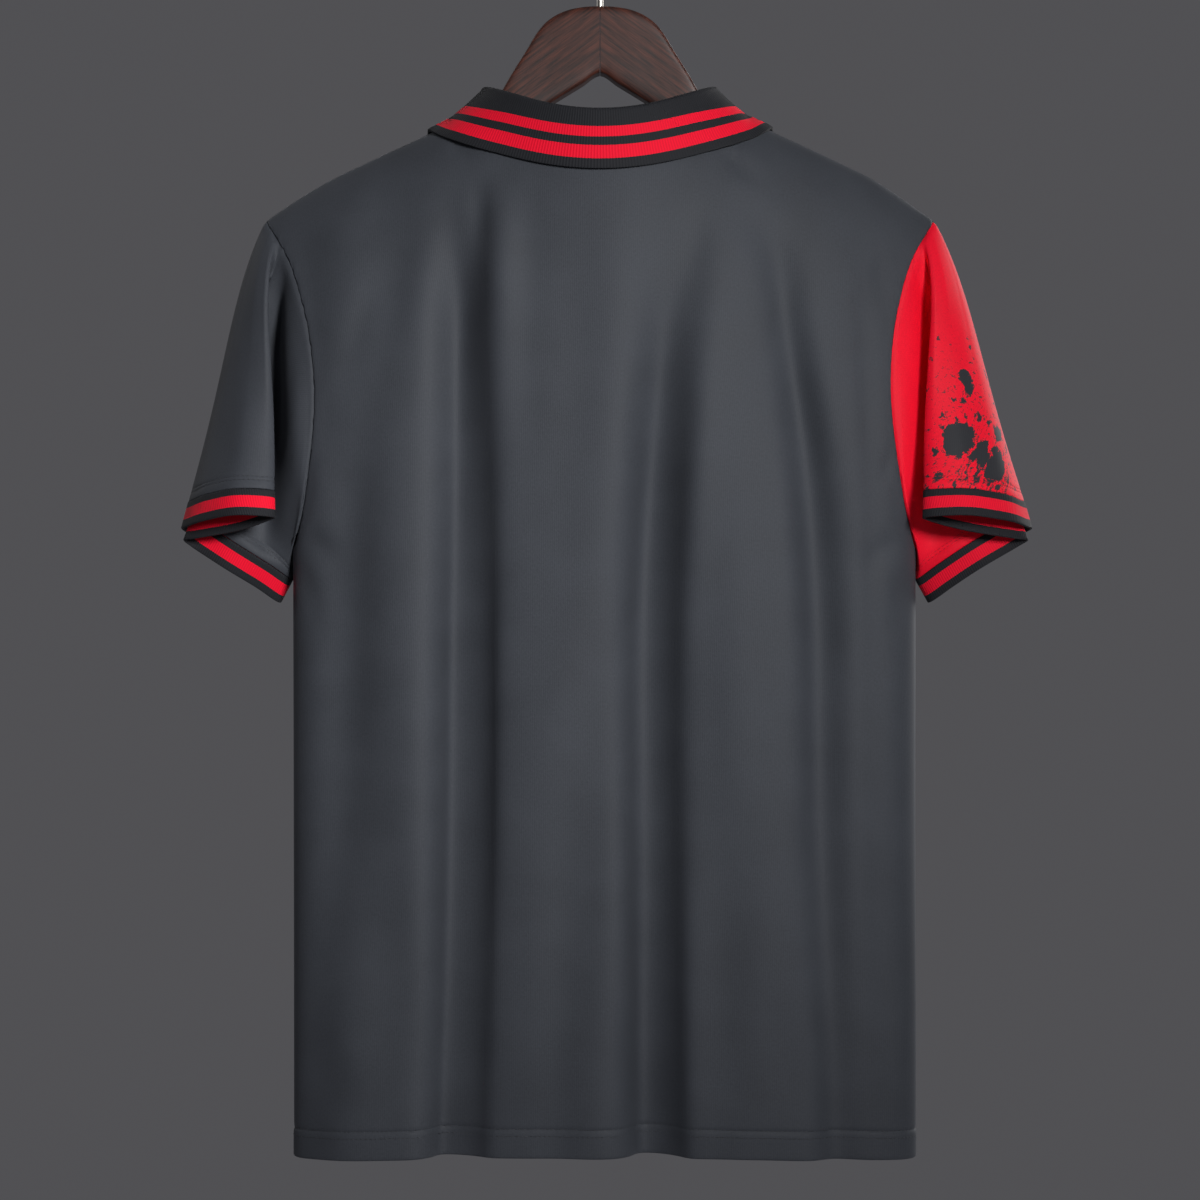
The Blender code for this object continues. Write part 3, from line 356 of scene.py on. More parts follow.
class JerseySizes(bpy.types.PropertyGroup):
    """Sizes of the cloth and the sewing."""
    wall: length_property("Jersey wall", "Thickness of the body and sleeve cloth", 0.0012)
    rib_wall: length_property("Rib wall", "Thickness of the collar and cuffs", 0.0018)
    hem_turn: length_property("Hem turn", "Height of the turned hem", 0.0200)
    stitch: length_property("Stitch", "Length of one stitch", 0.0026)
    stitch_gap: length_property("Stitch gap", "Gap between two stitches", 0.0007)
    thread: length_property("Thread", "Thickness of the sewing thread", 0.00045)
    wale: length_property("Wale pitch", "Spacing of the jersey's fine lines, drawn coarse", 0.0015)
    rib: length_property("Rib pitch", "Spacing of the ribs of collar and cuffs", 0.0017)


class JerseyColours(bpy.types.PropertyGroup):
    """Colours of the garment."""
    charcoal: colour_property("Charcoal cloth", "Body and left sleeve", "#3d4046")
    red: colour_property("Red cloth", "Right sleeve", "#fb0a2c")
    rib_charcoal: colour_property("Rib ground", "Collar and cuffs between the stripes", "#232428")
    rib_red: colour_property("Rib stripe", "Stripes of collar and cuffs", "#fb0b31")
    print_ink: colour_property("Print", "Flecks printed on the right sleeve", "#2f3034")
    thread: colour_property("Thread", "Sewing thread", "#2e2f33")
    red_thread: colour_property("Red thread", "Sewing thread of the red sleeve", "#b80822")
    button: colour_property("Button", "Moulded buttons", "#232327")


class HangerColours(bpy.types.PropertyGroup):
    """Colours of the hanger."""
    wood_dark: colour_property("Dark grain", "Dark lines of the stained wood", "#2c1c19")
    wood_warm: colour_property("Warm grain", "Reddish ground of the stained wood", "#5c3227")
    steel: colour_property("Steel", "Wire of the hook", "#c9c4bc")


class StudioSizes(bpy.types.PropertyGroup):
    """Floor and lights."""
    floor_drop: length_property("Floor", "Depth of the floor under the hem", 1.0)
    floor: colour_property("Floor colour", "Plain pale floor and surroundings", "#dbdae1")
    key: bpy.props.FloatProperty(name="Key light", description="Watts of the main soft light",
                                 default=3.05, min=0.0)
    front: bpy.props.FloatProperty(name="Front light", description="Watts of the soft light in front",
                                   default=60.0, min=0.0)
    fill: bpy.props.FloatProperty(name="Fill light", description="Watts of the weaker soft light",
                                  default=1.8, min=0.0)
    air: bpy.props.FloatProperty(name="Surroundings", description="Strength of the even light",
                                 default=0.116, min=0.0)


# ---------------------------------------------------------------- curves
def through(knots, values, at):
    """A smooth curve through a few knots, made of cubic pieces with slopes from the neighbours.
    A curve that starts at the centre line is level there."""
    knots = np.asarray(knots, float)
    values = np.asarray(values, float)
    slopes = np.gradient(values, knots)
    if knots[0] == 0.0:
        slopes[0] = 0.0
    at = np.clip(np.asarray(at, float), knots[0], knots[-1])
    i = np.clip(np.searchsorted(knots, at, side="right") - 1, 0, len(knots) - 2)
    width = knots[i + 1] - knots[i]
    t = (at - knots[i]) / width
    start = (2 * t**3 - 3 * t**2 + 1) * values[i] + (t**3 - 2 * t**2 + t) * width * slopes[i]
    end = (3 * t**2 - 2 * t**3) * values[i + 1] + (t**3 - t**2) * width * slopes[i + 1]
    return start + end


def from_table(table, key, column, at):
    """One column of a table as a smooth function of its key column."""
    return through([getattr(row, key) for row in table], [getattr(row, column) for row in table], at)


def ease(t):
    """0 to 1 with level ends."""
    t = np.clip(t, 0.0, 1.0)
    return t * t * (3 - 2 * t)


def unit(vectors):
    """Vectors along the last axis, made one long."""
    return vectors / np.maximum(np.linalg.norm(vectors, axis=-1, keepdims=True), 1e-12)


def arc(points, axis):
    """Distance run along one axis of a grid of points, from its first line."""
    steps = np.linalg.norm(np.diff(points, axis=axis), axis=-1)
    start = np.zeros_like(np.take(steps, [0], axis=axis))
    return np.cumsum(np.concatenate([start, steps], axis=axis), axis=axis)


def along(points, shares):
    """Points at these shares of the length of a polyline."""
    length = arc(points, 0)
    return np.stack([np.interp(np.asarray(shares) * length[-1], length, c) for c in points.T], axis=-1)


def normals_of(grid, ring=False):
    """Unit normals of a grid, square to its columns' and rows' directions."""
    if ring:
        across = np.roll(grid, -1, axis=1) - np.roll(grid, 1, axis=1)
    else:
        across = np.gradient(grid, axis=1)
    return unit(np.cross(across, np.gradient(grid, axis=0)))


# ---------------------------------------------------------------- the body's form
def body_shift(z):
    """The garment's centre line moves sideways between the shoulders and the armpits."""
    return BODY_SHIFT * ease((SHOULDER_TIP_Z - z) / (SHOULDER_TIP_Z - ARMPIT_Z))


def ridge_z(x):
    """Height of the ridge, where the shoulder seams lie. The right shoulder rides a little higher."""
    rides = ease((x - LIFT_START_X) / LIFT_RISE) * (1 - ease((x - LIFT_END_X) / LIFT_FALL))
    return from_table(SHOULDER_RIDGE, "half_width", "z", np.abs(x)) + RIGHT_SHOULDER_LIFT * rides


def across_share(x, z):
    """1 at the centre line, 0 at the ends of the superellipse section."""
    rise = np.clip((z - ARMPIT_Z) / (SHOULDER_TIP_Z - ARMPIT_Z), 0.0, 1.2)
    width = BODY_HALF_WIDTH + (TIP_SECTION_WIDTH - BODY_HALF_WIDTH) * rise
    ratio = np.clip(np.abs(x) / width, 0.0, 1.0)
    return (1 - ratio**SECTION_POWER) ** (1 / SECTION_POWER)


def shoulder_forward(x, z):
    """The middle plane curves towards the front at the shoulders and is flat from the armpits down."""
    fade = ease((z - ARMPIT_Z) / (SHOULDER_TIP_Z - ARMPIT_Z))
    return SHOULDER_FORWARD * (np.abs(x) / SHOULDER_TIP_X) ** 2 * fade


def fold_depth(folds, x, z):
    """Sum of the troughs: each is a soft bell across a curved line."""
    total = np.zeros(np.broadcast(x, z).shape)
    for f in folds:
        down = np.clip((f.top_z - z) / (f.top_z - f.foot_z), 0.0, 1.0)
        middle = f.mid_x + (f.foot_x - f.mid_x) * ease(2 * down - 1)
        line = f.top_x + (middle - f.top_x) * np.sin(np.clip(down * 2, 0, 1) * math.pi / 2)
        grow = ease(down / f.full) * (1 - (1 - f.foot_share) * ease((down - f.full) / (1 - f.full)))
        total += f.depth * grow * np.exp(-(((x - line) / f.width) ** 2))
    return total


def body_y(side, x, z):
    """Y of the cloth's middle at x from the centre line and height z. Side is back or front."""
    depth = from_table(BODY_DEPTH, "z", side, z)
    leave = from_table(RIDGE_LEAVE, "half_width", "length", np.abs(x))
    drop = np.maximum(ridge_z(x) - z, 0.0)
    share = across_share(x, z)
    smooth = depth * share * np.sqrt(1 - np.exp(-drop / leave))
    pressed = fold_depth(BACK_FOLDS if side == "back" else FRONT_FOLDS, x, z) * share
    sign = -1.0 if side == "back" else 1.0
    return shoulder_forward(x, z) + sign * np.maximum(smooth - pressed, 0.0)


def body_points(side, x, z):
    """Points of the cloth's middle, in place."""
    return np.stack(np.broadcast_arrays(x + body_shift(z), body_y(side, x, z), z), axis=-1)


def neck_z(side, x):
    """Height of a panel's neck edge."""
    level = 1 - np.clip(np.abs(x) / NECK_HALF_WIDTH, 0.0, 1.0) ** 2
    if side == "back":
        return NECK_SIDE_Z - BACK_NECK_DROP * level
    return NECK_SIDE_Z - FRONT_NECK_DROP * level**FRONT_NECK_POWER


def edge_x(side, z):
    """Half width of a panel at its side seam and armhole edge."""
    return np.where(z <= ARMPIT_Z, BODY_HALF_WIDTH, from_table(ARMHOLE, "z", side, z))


def crease_depth(creases, x, z):
    """Sum of the creases. Each is a bell across a bowed line, whose depth rises and dies away
    along it and whose width grows to one and a half times."""
    total = np.zeros(np.broadcast(x, z).shape)
    for c in creases:
        run = np.array([c.x2 - c.x1, c.z2 - c.z1])
        length = np.linalg.norm(run)
        way = run / length
        t = ((x - c.x1) * way[0] + (z - c.z1) * way[1]) / length
        side = (x - c.x1) * way[1] - (z - c.z1) * way[0]
        inside = np.clip(t, 0.0, 1.0)
        side = side - c.bow * 4 * inside * (1 - inside)
        grow = ease(t / c.rise) * (1 - ease((t - c.rise) / (1 - c.rise)))
        width = c.width * (1 + 0.5 * inside)
        total += c.depth * grow * np.exp(-((side / width) ** 2))
    return total


def slow_waves(x, z, seed, depth=0.00030, count=9):
    """Unevenness of hanging cloth: a few long sine waves that run mostly downwards."""
    draw = np.random.default_rng(seed)
    total = np.zeros(np.broadcast(x, z).shape)
    for _ in range(count):
        across = draw.uniform(0.035, 0.110)
        down = draw.uniform(0.20, 0.70) * draw.choice([-1, 1])
        phase = draw.uniform(0, 2 * math.pi)
        total += depth * np.sin(2 * math.pi * (x / across + z / down) + phase)
    return total


def seam_pucker(run, distance, depth=0.00022, fade=0.0055):
    """Small ripples along a sewn edge: two sines of different pitch, which die away within a few
    millimetres of it."""
    ripple = np.sin(run * 2 * math.pi / 0.0094) + 0.6 * np.sin(run * 2 * math.pi / 0.0151 + 1.3)
    return depth * ripple * np.exp(-distance / fade)


def seam_dip(distance, depth=0.00025, width=0.0010):
    """The cloth rolls inwards in the last millimetre or two before a seam."""
    return depth * np.exp(-((distance / width) ** 2))


# ---------------------------------------------------------------- mesh helpers
def surface_mesh(name, grid, uv, ring=False, flip=False, keep=None, poles=()):
    """A mesh of quads over a grid of points. A ring's last column joins its first, for which uv
    has one column more. `poles` are the rows closed by a fan round their middle."""
    rows, columns = grid.shape[:2]
    row, column = np.meshgrid(np.arange(rows - 1), np.arange(columns - (not ring)), indexing="ij")
    if keep is not None:
        row, column = row[keep], column[keep]
    row, column = row.ravel(), column.ravel()
    corner_row = np.stack([row, row, row + 1, row + 1], axis=-1)
    corner_column = np.stack([column, column + 1, column + 1, column], axis=-1)
    faces = (corner_row * columns + corner_column % columns).tolist()
    corner_uv = uv[corner_row, corner_column].reshape(-1, 2)
    points = grid.reshape(-1, 3)
    for pole in poles:
        middle = len(points)
        points = np.concatenate([points, grid[pole].mean(axis=0, keepdims=True)])
        first = (pole % rows) * columns
        here, after = np.arange(columns), np.arange(1, columns + 1)
        fan = [here, after % columns] if pole else [after % columns, here]
        faces += np.stack([first + fan[0], first + fan[1], np.full(columns, middle)], axis=-1).tolist()
        edge_uv = [uv[pole, here], uv[pole, after]] if pole else [uv[pole, after], uv[pole, here]]
        fan_uv = np.stack([edge_uv[0], edge_uv[1], (edge_uv[0] + edge_uv[1]) / 2], axis=1)
        corner_uv = np.concatenate([corner_uv, fan_uv.reshape(-1, 2)])
    used, index = np.unique(np.concatenate([np.ravel(f) for f in faces]), return_inverse=True)
    ends = np.cumsum([len(f) for f in faces])[:-1]
    faces = [f.tolist() for f in np.split(index, ends)]
    mesh = bpy.data.meshes.new(name)
    mesh.from_pydata(points[used].tolist(), [], faces)
    mesh.uv_layers.new(name="cloth").data.foreach_set("uv", corner_uv.ravel())
    if flip:
        mesh.flip_normals()
    mesh.update()
    mesh.shade_smooth()
    return mesh


def plain_uv(grid, ring=False):
    """UV in metres: the distance run round a row and up a column."""
    shown = np.concatenate([grid, grid[:, :1]], axis=1) if ring else grid
    across = arc(shown, 1)
    middle = across[:, shown.shape[1] // 2][:, None]
    return np.stack([across - (0.0 if ring else middle), arc(shown, 0)], axis=-1)


def add_piece(name, mesh, material, replaces=()):
    """Puts a finished mesh into the scene as a piece of the object."""
    obj = bpy.data.objects.new(name, mesh)
    obj.data.materials.append(material)
    bpy.context.scene.collection.objects.link(obj)
    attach(obj, "root")
    if replaces:
        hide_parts(*replaces)
    return obj


def add_wall(obj, thickness, rounded=0.0):
    """Gives an open surface its thickness, half to each side, and rounds the cut edges."""
    wall = obj.modifiers.new("wall", "SOLIDIFY")
    wall.thickness = thickness
    wall.offset = 0.0
    if rounded:
        edge = obj.modifiers.new("rounded edge", "BEVEL")
        edge.width = rounded
        edge.segments = 2
        edge.limit_method = "ANGLE"
        edge.angle_limit = math.radians(50)


# ---------------------------------------------------------------- stitches
STITCH_AROUND = 6
STITCH_STATIONS = 4
STITCH_LIFT = 0.30          # in thread thicknesses, how far its middle bows up


def stitch_faces():
    """Faces of one stitch: rings of points between two end points, 30 faces in all."""
    last = 1 + STITCH_AROUND * STITCH_STATIONS
    faces = []
    for k in range(STITCH_AROUND):
        beside = (k + 1) % STITCH_AROUND
        faces.append((0, 1 + beside, 1 + k))
        for row in range(STITCH_STATIONS - 1):
            low, high = 1 + row * STITCH_AROUND, 1 + (row + 1) * STITCH_AROUND
            faces.append((low + k, low + beside, high + beside, high + k))
        tip = 1 + (STITCH_STATIONS - 1) * STITCH_AROUND
        faces.append((tip + k, tip + beside, last))
    return faces


def stitch_mesh(name, starts, ends, normals, thread):
    """Stitches from start to end points. Each is a rounded thread that bows up out of the cloth:
    its radius follows the root of a half sine and so does its lift above the cloth."""
    count = len(starts)
    run = ends - starts
    side = unit(np.cross(normals, run))
    t = np.linspace(0, 1, STITCH_STATIONS + 2)[1:-1]
    turn = np.linspace(0, 2 * math.pi, STITCH_AROUND, endpoint=False)
    radius = thread / 2 * np.sqrt(np.sin(math.pi * t))
    lift = thread * STITCH_LIFT * np.sin(math.pi * t)
    middle = starts[:, None] + run[:, None] * t[None, :, None] + normals[:, None] * lift[None, :, None]
    rings = (middle[:, :, None]
             + side[:, None, None] * (np.cos(turn)[None, :] * radius[:, None])[None, :, :, None]
             + normals[:, None, None] * (np.sin(turn)[None, :] * radius[:, None])[None, :, :, None])
    points = np.concatenate([starts[:, None], rings.reshape(count, -1, 3), ends[:, None]], axis=1)
    pattern = stitch_faces()
    faces = [tuple(k * points.shape[1] + i for i in f) for k in range(count) for f in pattern]
    mesh = bpy.data.meshes.new(name)
    mesh.from_pydata(points.reshape(-1, 3).tolist(), [], faces)
    mesh.update()
    mesh.shade_smooth()
    return mesh


def stitch_line(path, normals, sizes, closed=False):
    """Start points, end points and normals of a row of stitches along a path over the cloth."""
    if closed:
        path, normals = np.concatenate([path, path[:1]]), np.concatenate([normals, normals[:1]])
    length = arc(path, 0)
    pitch = sizes.stitch + sizes.stitch_gap
    first = np.arange(pitch / 2, length[-1] - sizes.stitch, pitch)

    def at(values, distance):
        return np.stack([np.interp(distance, length, c) for c in values.T], axis=-1)

    return at(path, first), at(path, first + sizes.stitch), unit(at(normals, first))


def add_stitches(name, lines, sizes, material=None):
    """One piece of sewing thread from several rows of stitches."""
    starts, ends, normals = (np.concatenate(part) for part in zip(*lines))
    mesh = stitch_mesh(name, starts, ends, normals, sizes.thread)
    return add_piece(name, mesh, material or charcoal_thread())


# ---------------------------------------------------------------- materials
# Noise cells a metre, with the size of one beside each. Yarn and pores are finer on real cloth and
# wood: they are drawn as coarse as they need to show.
DYE_CLOUDS = 22.0           # 45 mm, faint unevenness of the dye
YARN = 620.0                # 1.6 mm
RIB_YARN = 800.0            # 1.25 mm
THREAD_TURNS = 2600.0       # 0.4 mm, the sewing thread's twist, whose turns are painted lighter and darker
RESIN_CLOUDS = 260.0        # 3.8 mm
PORES = 1500.0              # 0.7 mm across
SCRATCHES = (900.0, 5000.0, 1.0)    # 1.1 mm long, round the wire, and 0.2 mm wide
PAPER_TOOTH = 400.0         # 2.5 mm
GRAIN_WIDTH = 0.0022        # between two dark lines of the wood, drawn coarse enough to show
GRAIN_STRETCH = (0.07, 0.6, 1.0)    # its lines are 14 times as long as they are wide
PORE_STRETCH = (0.045, 0.5, 1.0)    # and its pores 22 times
GRAIN_TILT = math.radians(36)


def feed(tree, node, inputs):
    """Gives each of these inputs its value, or links it from the socket given."""
    for name, value in inputs.items():
        if isinstance(value, bpy.types.NodeSocket):
            tree.links.new(value, node.inputs[name])
        else:
            node.inputs[name].default_value = value


def add_node(tree, kind, inputs=None, **settings):
    """Adds a shader node of this kind with its settings and feeds its inputs."""
    made = tree.nodes.new("ShaderNode" + kind)
    for name, value in settings.items():
        setattr(made, name, value)
    feed(tree, made, inputs or {})
    return made


def new_material(name):
    """A new material, its node tree and its shader, which is linked to the output."""
    made = bpy.data.materials.new(name)
    made.use_nodes = True
    made.node_tree.nodes.clear()
    shader = add_node(made.node_tree, "BsdfPrincipled")
    add_node(made.node_tree, "OutputMaterial", {"Surface": shader.outputs["BSDF"]})
    return made, made.node_tree, shader


def band_scale(pitch):
    """Scale of a wave texture whose bands repeat at this pitch."""
    return math.pi / (10 * pitch)


def rgba(colour, gain=1.0):
    """A linear colour, lighter or darker by its gain, with full alpha."""
    return tuple(min(c * gain, 1.0) for c in colour) + (1.0,)


def interlock(name, colour, sizes, ink=None):
    """Polyester interlock jersey, knitted fine and heat set: an even matt ground with fine lines
    downwards, a soft satin sheen on every ridge and slightly cloudy colour."""
    made, tree, shader = new_material(name)
    place = add_node(tree, "UVMap", uv_map="cloth").outputs["UV"]
    cloudy = add_node(tree, "TexNoise", {"Vector": place, "Scale": DYE_CLOUDS, "Detail": 3.0})
    yarn = add_node(tree, "TexNoise", {"Vector": place, "Scale": YARN, "Detail": 2.0})
    both = add_node(tree, "Math", {0: cloudy.outputs["Fac"], 1: yarn.outputs["Fac"]}, operation="ADD")
    share = add_node(tree, "MapRange", {"Value": both.outputs[0], "From Min": 0.7, "From Max": 1.3})
    ground = add_node(tree, "Mix", {"Factor": share.outputs["Result"], "A": rgba(colour, 0.88),
                                    "B": rgba(colour, 1.12)}, data_type="RGBA")
    finish = ground.outputs["Result"]
    if ink:
        printed = fleck_print(tree, place)
        finish = add_node(tree, "Mix", {"Factor": printed, "A": finish, "B": rgba(ink)},
                          data_type="RGBA").outputs["Result"]
    wales = add_node(tree, "TexWave", {"Vector": place, "Scale": band_scale(sizes.wale),
                                       "Distortion": 1.2, "Detail": 1.0, "Detail Scale": 1.5},
                     wave_type="BANDS", bands_direction="X")
    relief = add_node(tree, "Math", {0: wales.outputs["Fac"], 1: 0.55, 2: yarn.outputs["Fac"]},
                      operation="MULTIPLY_ADD")
    bump = add_node(tree, "Bump", {"Height": relief.outputs[0], "Strength": 0.30, "Distance": 0.00018})
    dull = add_node(tree, "MapRange", {"Value": cloudy.outputs["Fac"], "To Min": 0.58, "To Max": 0.70})
    feed(tree, shader, {
        "Base Color": finish, "Roughness": dull.outputs["Result"], "Normal": bump.outputs["Normal"],
        "IOR": 1.50, "Specular IOR Level": 0.22, "Sheen Weight": 0.06, "Sheen Roughness": 0.42,
        "Sheen Tint": rgba(linear("#c9ccd6")),
    })
    return made


PRINT_U = 0.203             # where the print is densest, round the sleeve
PRINT_V = 0.190             # and down it
PRINT_TOP_V = 0.060         # and where it starts
PRINT_REACH = 0.038
BLOTCHES = [(0.189, 0.158, 0.0125), (0.219, 0.184, 0.0100), (0.207, 0.116, 0.0062)]    # u, v, radius
SPOTS = [(48.0, 0.50), (110.0, 0.46), (300.0, 0.36)]    # cells a metre, largest spot's share of one
TEARS = 190.0               # noise cells a metre: the print's edges are torn every 5 mm
TORN_BY = 0.014             # and shifted by up to half of this
STROKES = (230.0, 25.0, 1.0)    # noise cells a metre: 4.3 mm apart and 40 mm long
STROKE_TILT = 0.45


def fleck_print(tree, place):
    """A print of thrown ink: three blotches, cells of three sizes whose spots shrink with distance
    from the densest place, and slanting strokes between them, all with edges torn by noise."""
    ragged = add_node(tree, "TexNoise", {"Vector": place, "Scale": TEARS, "Detail": 5.0,
                                         "Roughness": 0.70})
    shift = add_node(tree, "VectorMath", {0: ragged.outputs["Color"], 1: (0.5, 0.5, 0.5)},
                     operation="SUBTRACT")
    shift = add_node(tree, "VectorMath", {0: shift.outputs[0], 1: (TORN_BY, TORN_BY, 0.0)},
                     operation="MULTIPLY")
    torn = add_node(tree, "VectorMath", {0: place, 1: shift.outputs[0]}, operation="ADD")
    torn = torn.outputs[0]
    parts = add_node(tree, "SeparateXYZ", {"Vector": place})
    around = add_node(tree, "Math", {0: parts.outputs["X"], 1: PRINT_U}, operation="SUBTRACT")
    around = add_node(tree, "Math", {0: around.outputs[0], 1: PRINT_REACH}, operation="DIVIDE")
    around = add_node(tree, "Math", {0: around.outputs[0], 1: around.outputs[0]}, operation="MULTIPLY")
    beside = add_node(tree, "MapRange", {"Value": around.outputs[0], "From Max": 2.2, "To Min": 1.0,
                                         "To Max": 0.0})
    down = add_node(tree, "MapRange", {"Value": parts.outputs["Y"], "From Min": PRINT_TOP_V,
                                       "From Max": PRINT_V})
    dense = add_node(tree, "Math", {0: beside.outputs["Result"], 1: down.outputs["Result"]},
                     operation="MULTIPLY")
    dense = dense.outputs[0]
    inked = []
    for u, v, radius in BLOTCHES:
        away = add_node(tree, "VectorMath", {0: torn, 1: (u, v, 0.0)}, operation="DISTANCE")
        inked.append(add_node(tree, "Math", {0: away.outputs["Value"], 1: radius},
                              operation="LESS_THAN").outputs[0])
    for scale, size in SPOTS:
        cells = add_node(tree, "TexVoronoi", {"Vector": torn, "Scale": scale}, voronoi_dimensions="2D")
        uneven = add_node(tree, "SeparateColor", {"Color": cells.outputs["Color"]})
        reach = add_node(tree, "Math", {0: uneven.outputs["Red"], 1: dense}, operation="MULTIPLY")
        reach = add_node(tree, "Math", {0: reach.outputs[0], 1: size}, operation="MULTIPLY")
        inked.append(add_node(tree, "Math", {0: cells.outputs["Distance"], 1: reach.outputs[0]},
                              operation="LESS_THAN").outputs[0])
    drawn = add_node(tree, "Mapping", {"Vector": torn, "Rotation": (0.0, 0.0, STROKE_TILT),
                                       "Scale": STROKES})
    strokes = add_node(tree, "TexNoise", {"Vector": drawn.outputs[0], "Scale": 1.0, "Detail": 2.0})
    limit = add_node(tree, "MapRange", {"Value": dense, "To Min": 0.84, "To Max": 0.565})
    inked.append(add_node(tree, "Math", {0: strokes.outputs["Fac"], 1: limit.outputs["Result"]},
                          operation="GREATER_THAN").outputs[0])
    total = inked[0]
    for more in inked[1:]:
        total = add_node(tree, "Math", {0: total, 1: more}, operation="MAXIMUM").outputs[0]
    return total


def rib_knit(name, ground, stripe, stripes, height, sizes):
    """Flat-knitted rib, thick and matt: fine upright ribs across the whole height, with painted shade
    darkening the colour in the grooves between them, and stripes knitted in along it. `stripes` are
    the starts and ends of the red rows."""
    made, tree, shader = new_material(name)
    place = add_node(tree, "UVMap", uv_map="cloth").outputs["UV"]
    parts = add_node(tree, "SeparateXYZ", {"Vector": place})
    level = add_node(tree, "Math", {0: parts.outputs["Y"], 1: height}, operation="DIVIDE")
    ramp = add_node(tree, "ValToRGB", {"Fac": level.outputs[0]})
    ramp.color_ramp.interpolation = "CONSTANT"
    ramp.color_ramp.elements.remove(ramp.color_ramp.elements[1])
    ramp.color_ramp.elements[0].color = rgba(ground)
    for start, end in stripes:
        ramp.color_ramp.elements.new(start / height).color = rgba(stripe)
        ramp.color_ramp.elements.new(end / height).color = rgba(ground)
    ribs = add_node(tree, "TexWave", {"Vector": place, "Scale": band_scale(sizes.rib),
                                      "Distortion": 0.5, "Detail": 1.0}, wave_type="BANDS",
                    bands_direction="X")
    yarn = add_node(tree, "TexNoise", {"Vector": place, "Scale": RIB_YARN, "Detail": 2.0})
    # Painted shade: the colour is darkened by up to 16 % in the grooves between the ribs.
    painted_groove_shade = add_node(tree, "MapRange", {"Value": ribs.outputs["Fac"], "To Min": 0.84, "To Max": 1.0})
    finish = add_node(tree, "Mix", {"Factor": 1.0, "A": ramp.outputs["Color"],
                                    "B": painted_groove_shade.outputs["Result"]}, data_type="RGBA",
                      blend_type="MULTIPLY")
    relief = add_node(tree, "Math", {0: yarn.outputs["Fac"], 1: 0.35, 2: ribs.outputs["Fac"]},
                      operation="MULTIPLY_ADD")
    bump = add_node(tree, "Bump", {"Height": relief.outputs[0], "Strength": 0.45, "Distance": 0.00035})
    feed(tree, shader, {
        "Base Color": finish.outputs["Result"], "Roughness": 0.74, "Normal": bump.outputs["Normal"],
        "Specular IOR Level": 0.20, "Sheen Weight": 0.03, "Sheen Roughness": 0.5,
    })
    return made


def charcoal_thread():
    """The body's sewing thread, made once and shared."""
    name = "charcoal spun polyester thread"
    return bpy.data.materials.get(name) or sewing_thread(name, bpy.context.scene.jersey_colours.thread)


def sewing_thread(name, colour):
    """Spun polyester thread: fibrous, with painted highlights and painted shade along the turns of its
    twist.
    """
    made, tree, shader = new_material(name)
    place = add_node(tree, "TexCoord").outputs["Object"]
    # Painted highlight and shade: the colour runs from 0.7 to 1.5 times the thread's own along the turns.
    painted_twist_light = add_node(tree, "TexNoise", {"Vector": place, "Scale": THREAD_TURNS, "Detail": 1.0})
    finish = add_node(tree, "Mix", {"Factor": painted_twist_light.outputs["Fac"], "A": rgba(colour, 0.7),
                                    "B": rgba(colour, 1.5)}, data_type="RGBA")
    feed(tree, shader, {"Base Color": finish.outputs["Result"], "Roughness": 0.6})
    return made


def moulded_resin(colour):
    """Moulded polyester resin, tumbled smooth: dark and glossy with faint clouds under the gloss."""
    made, tree, shader = new_material("moulded polyester resin")
    place = add_node(tree, "TexCoord").outputs["Object"]
    cloud = add_node(tree, "TexNoise", {"Vector": place, "Scale": RESIN_CLOUDS, "Detail": 3.0,
                                        "Distortion": 1.5})
    finish = add_node(tree, "Mix", {"Factor": cloud.outputs["Fac"], "A": rgba(colour, 0.6),
                                    "B": rgba(colour, 1.7)}, data_type="RGBA")
    feed(tree, shader, {"Base Color": finish.outputs["Result"], "Roughness": 0.24, "IOR": 1.54})
    return made


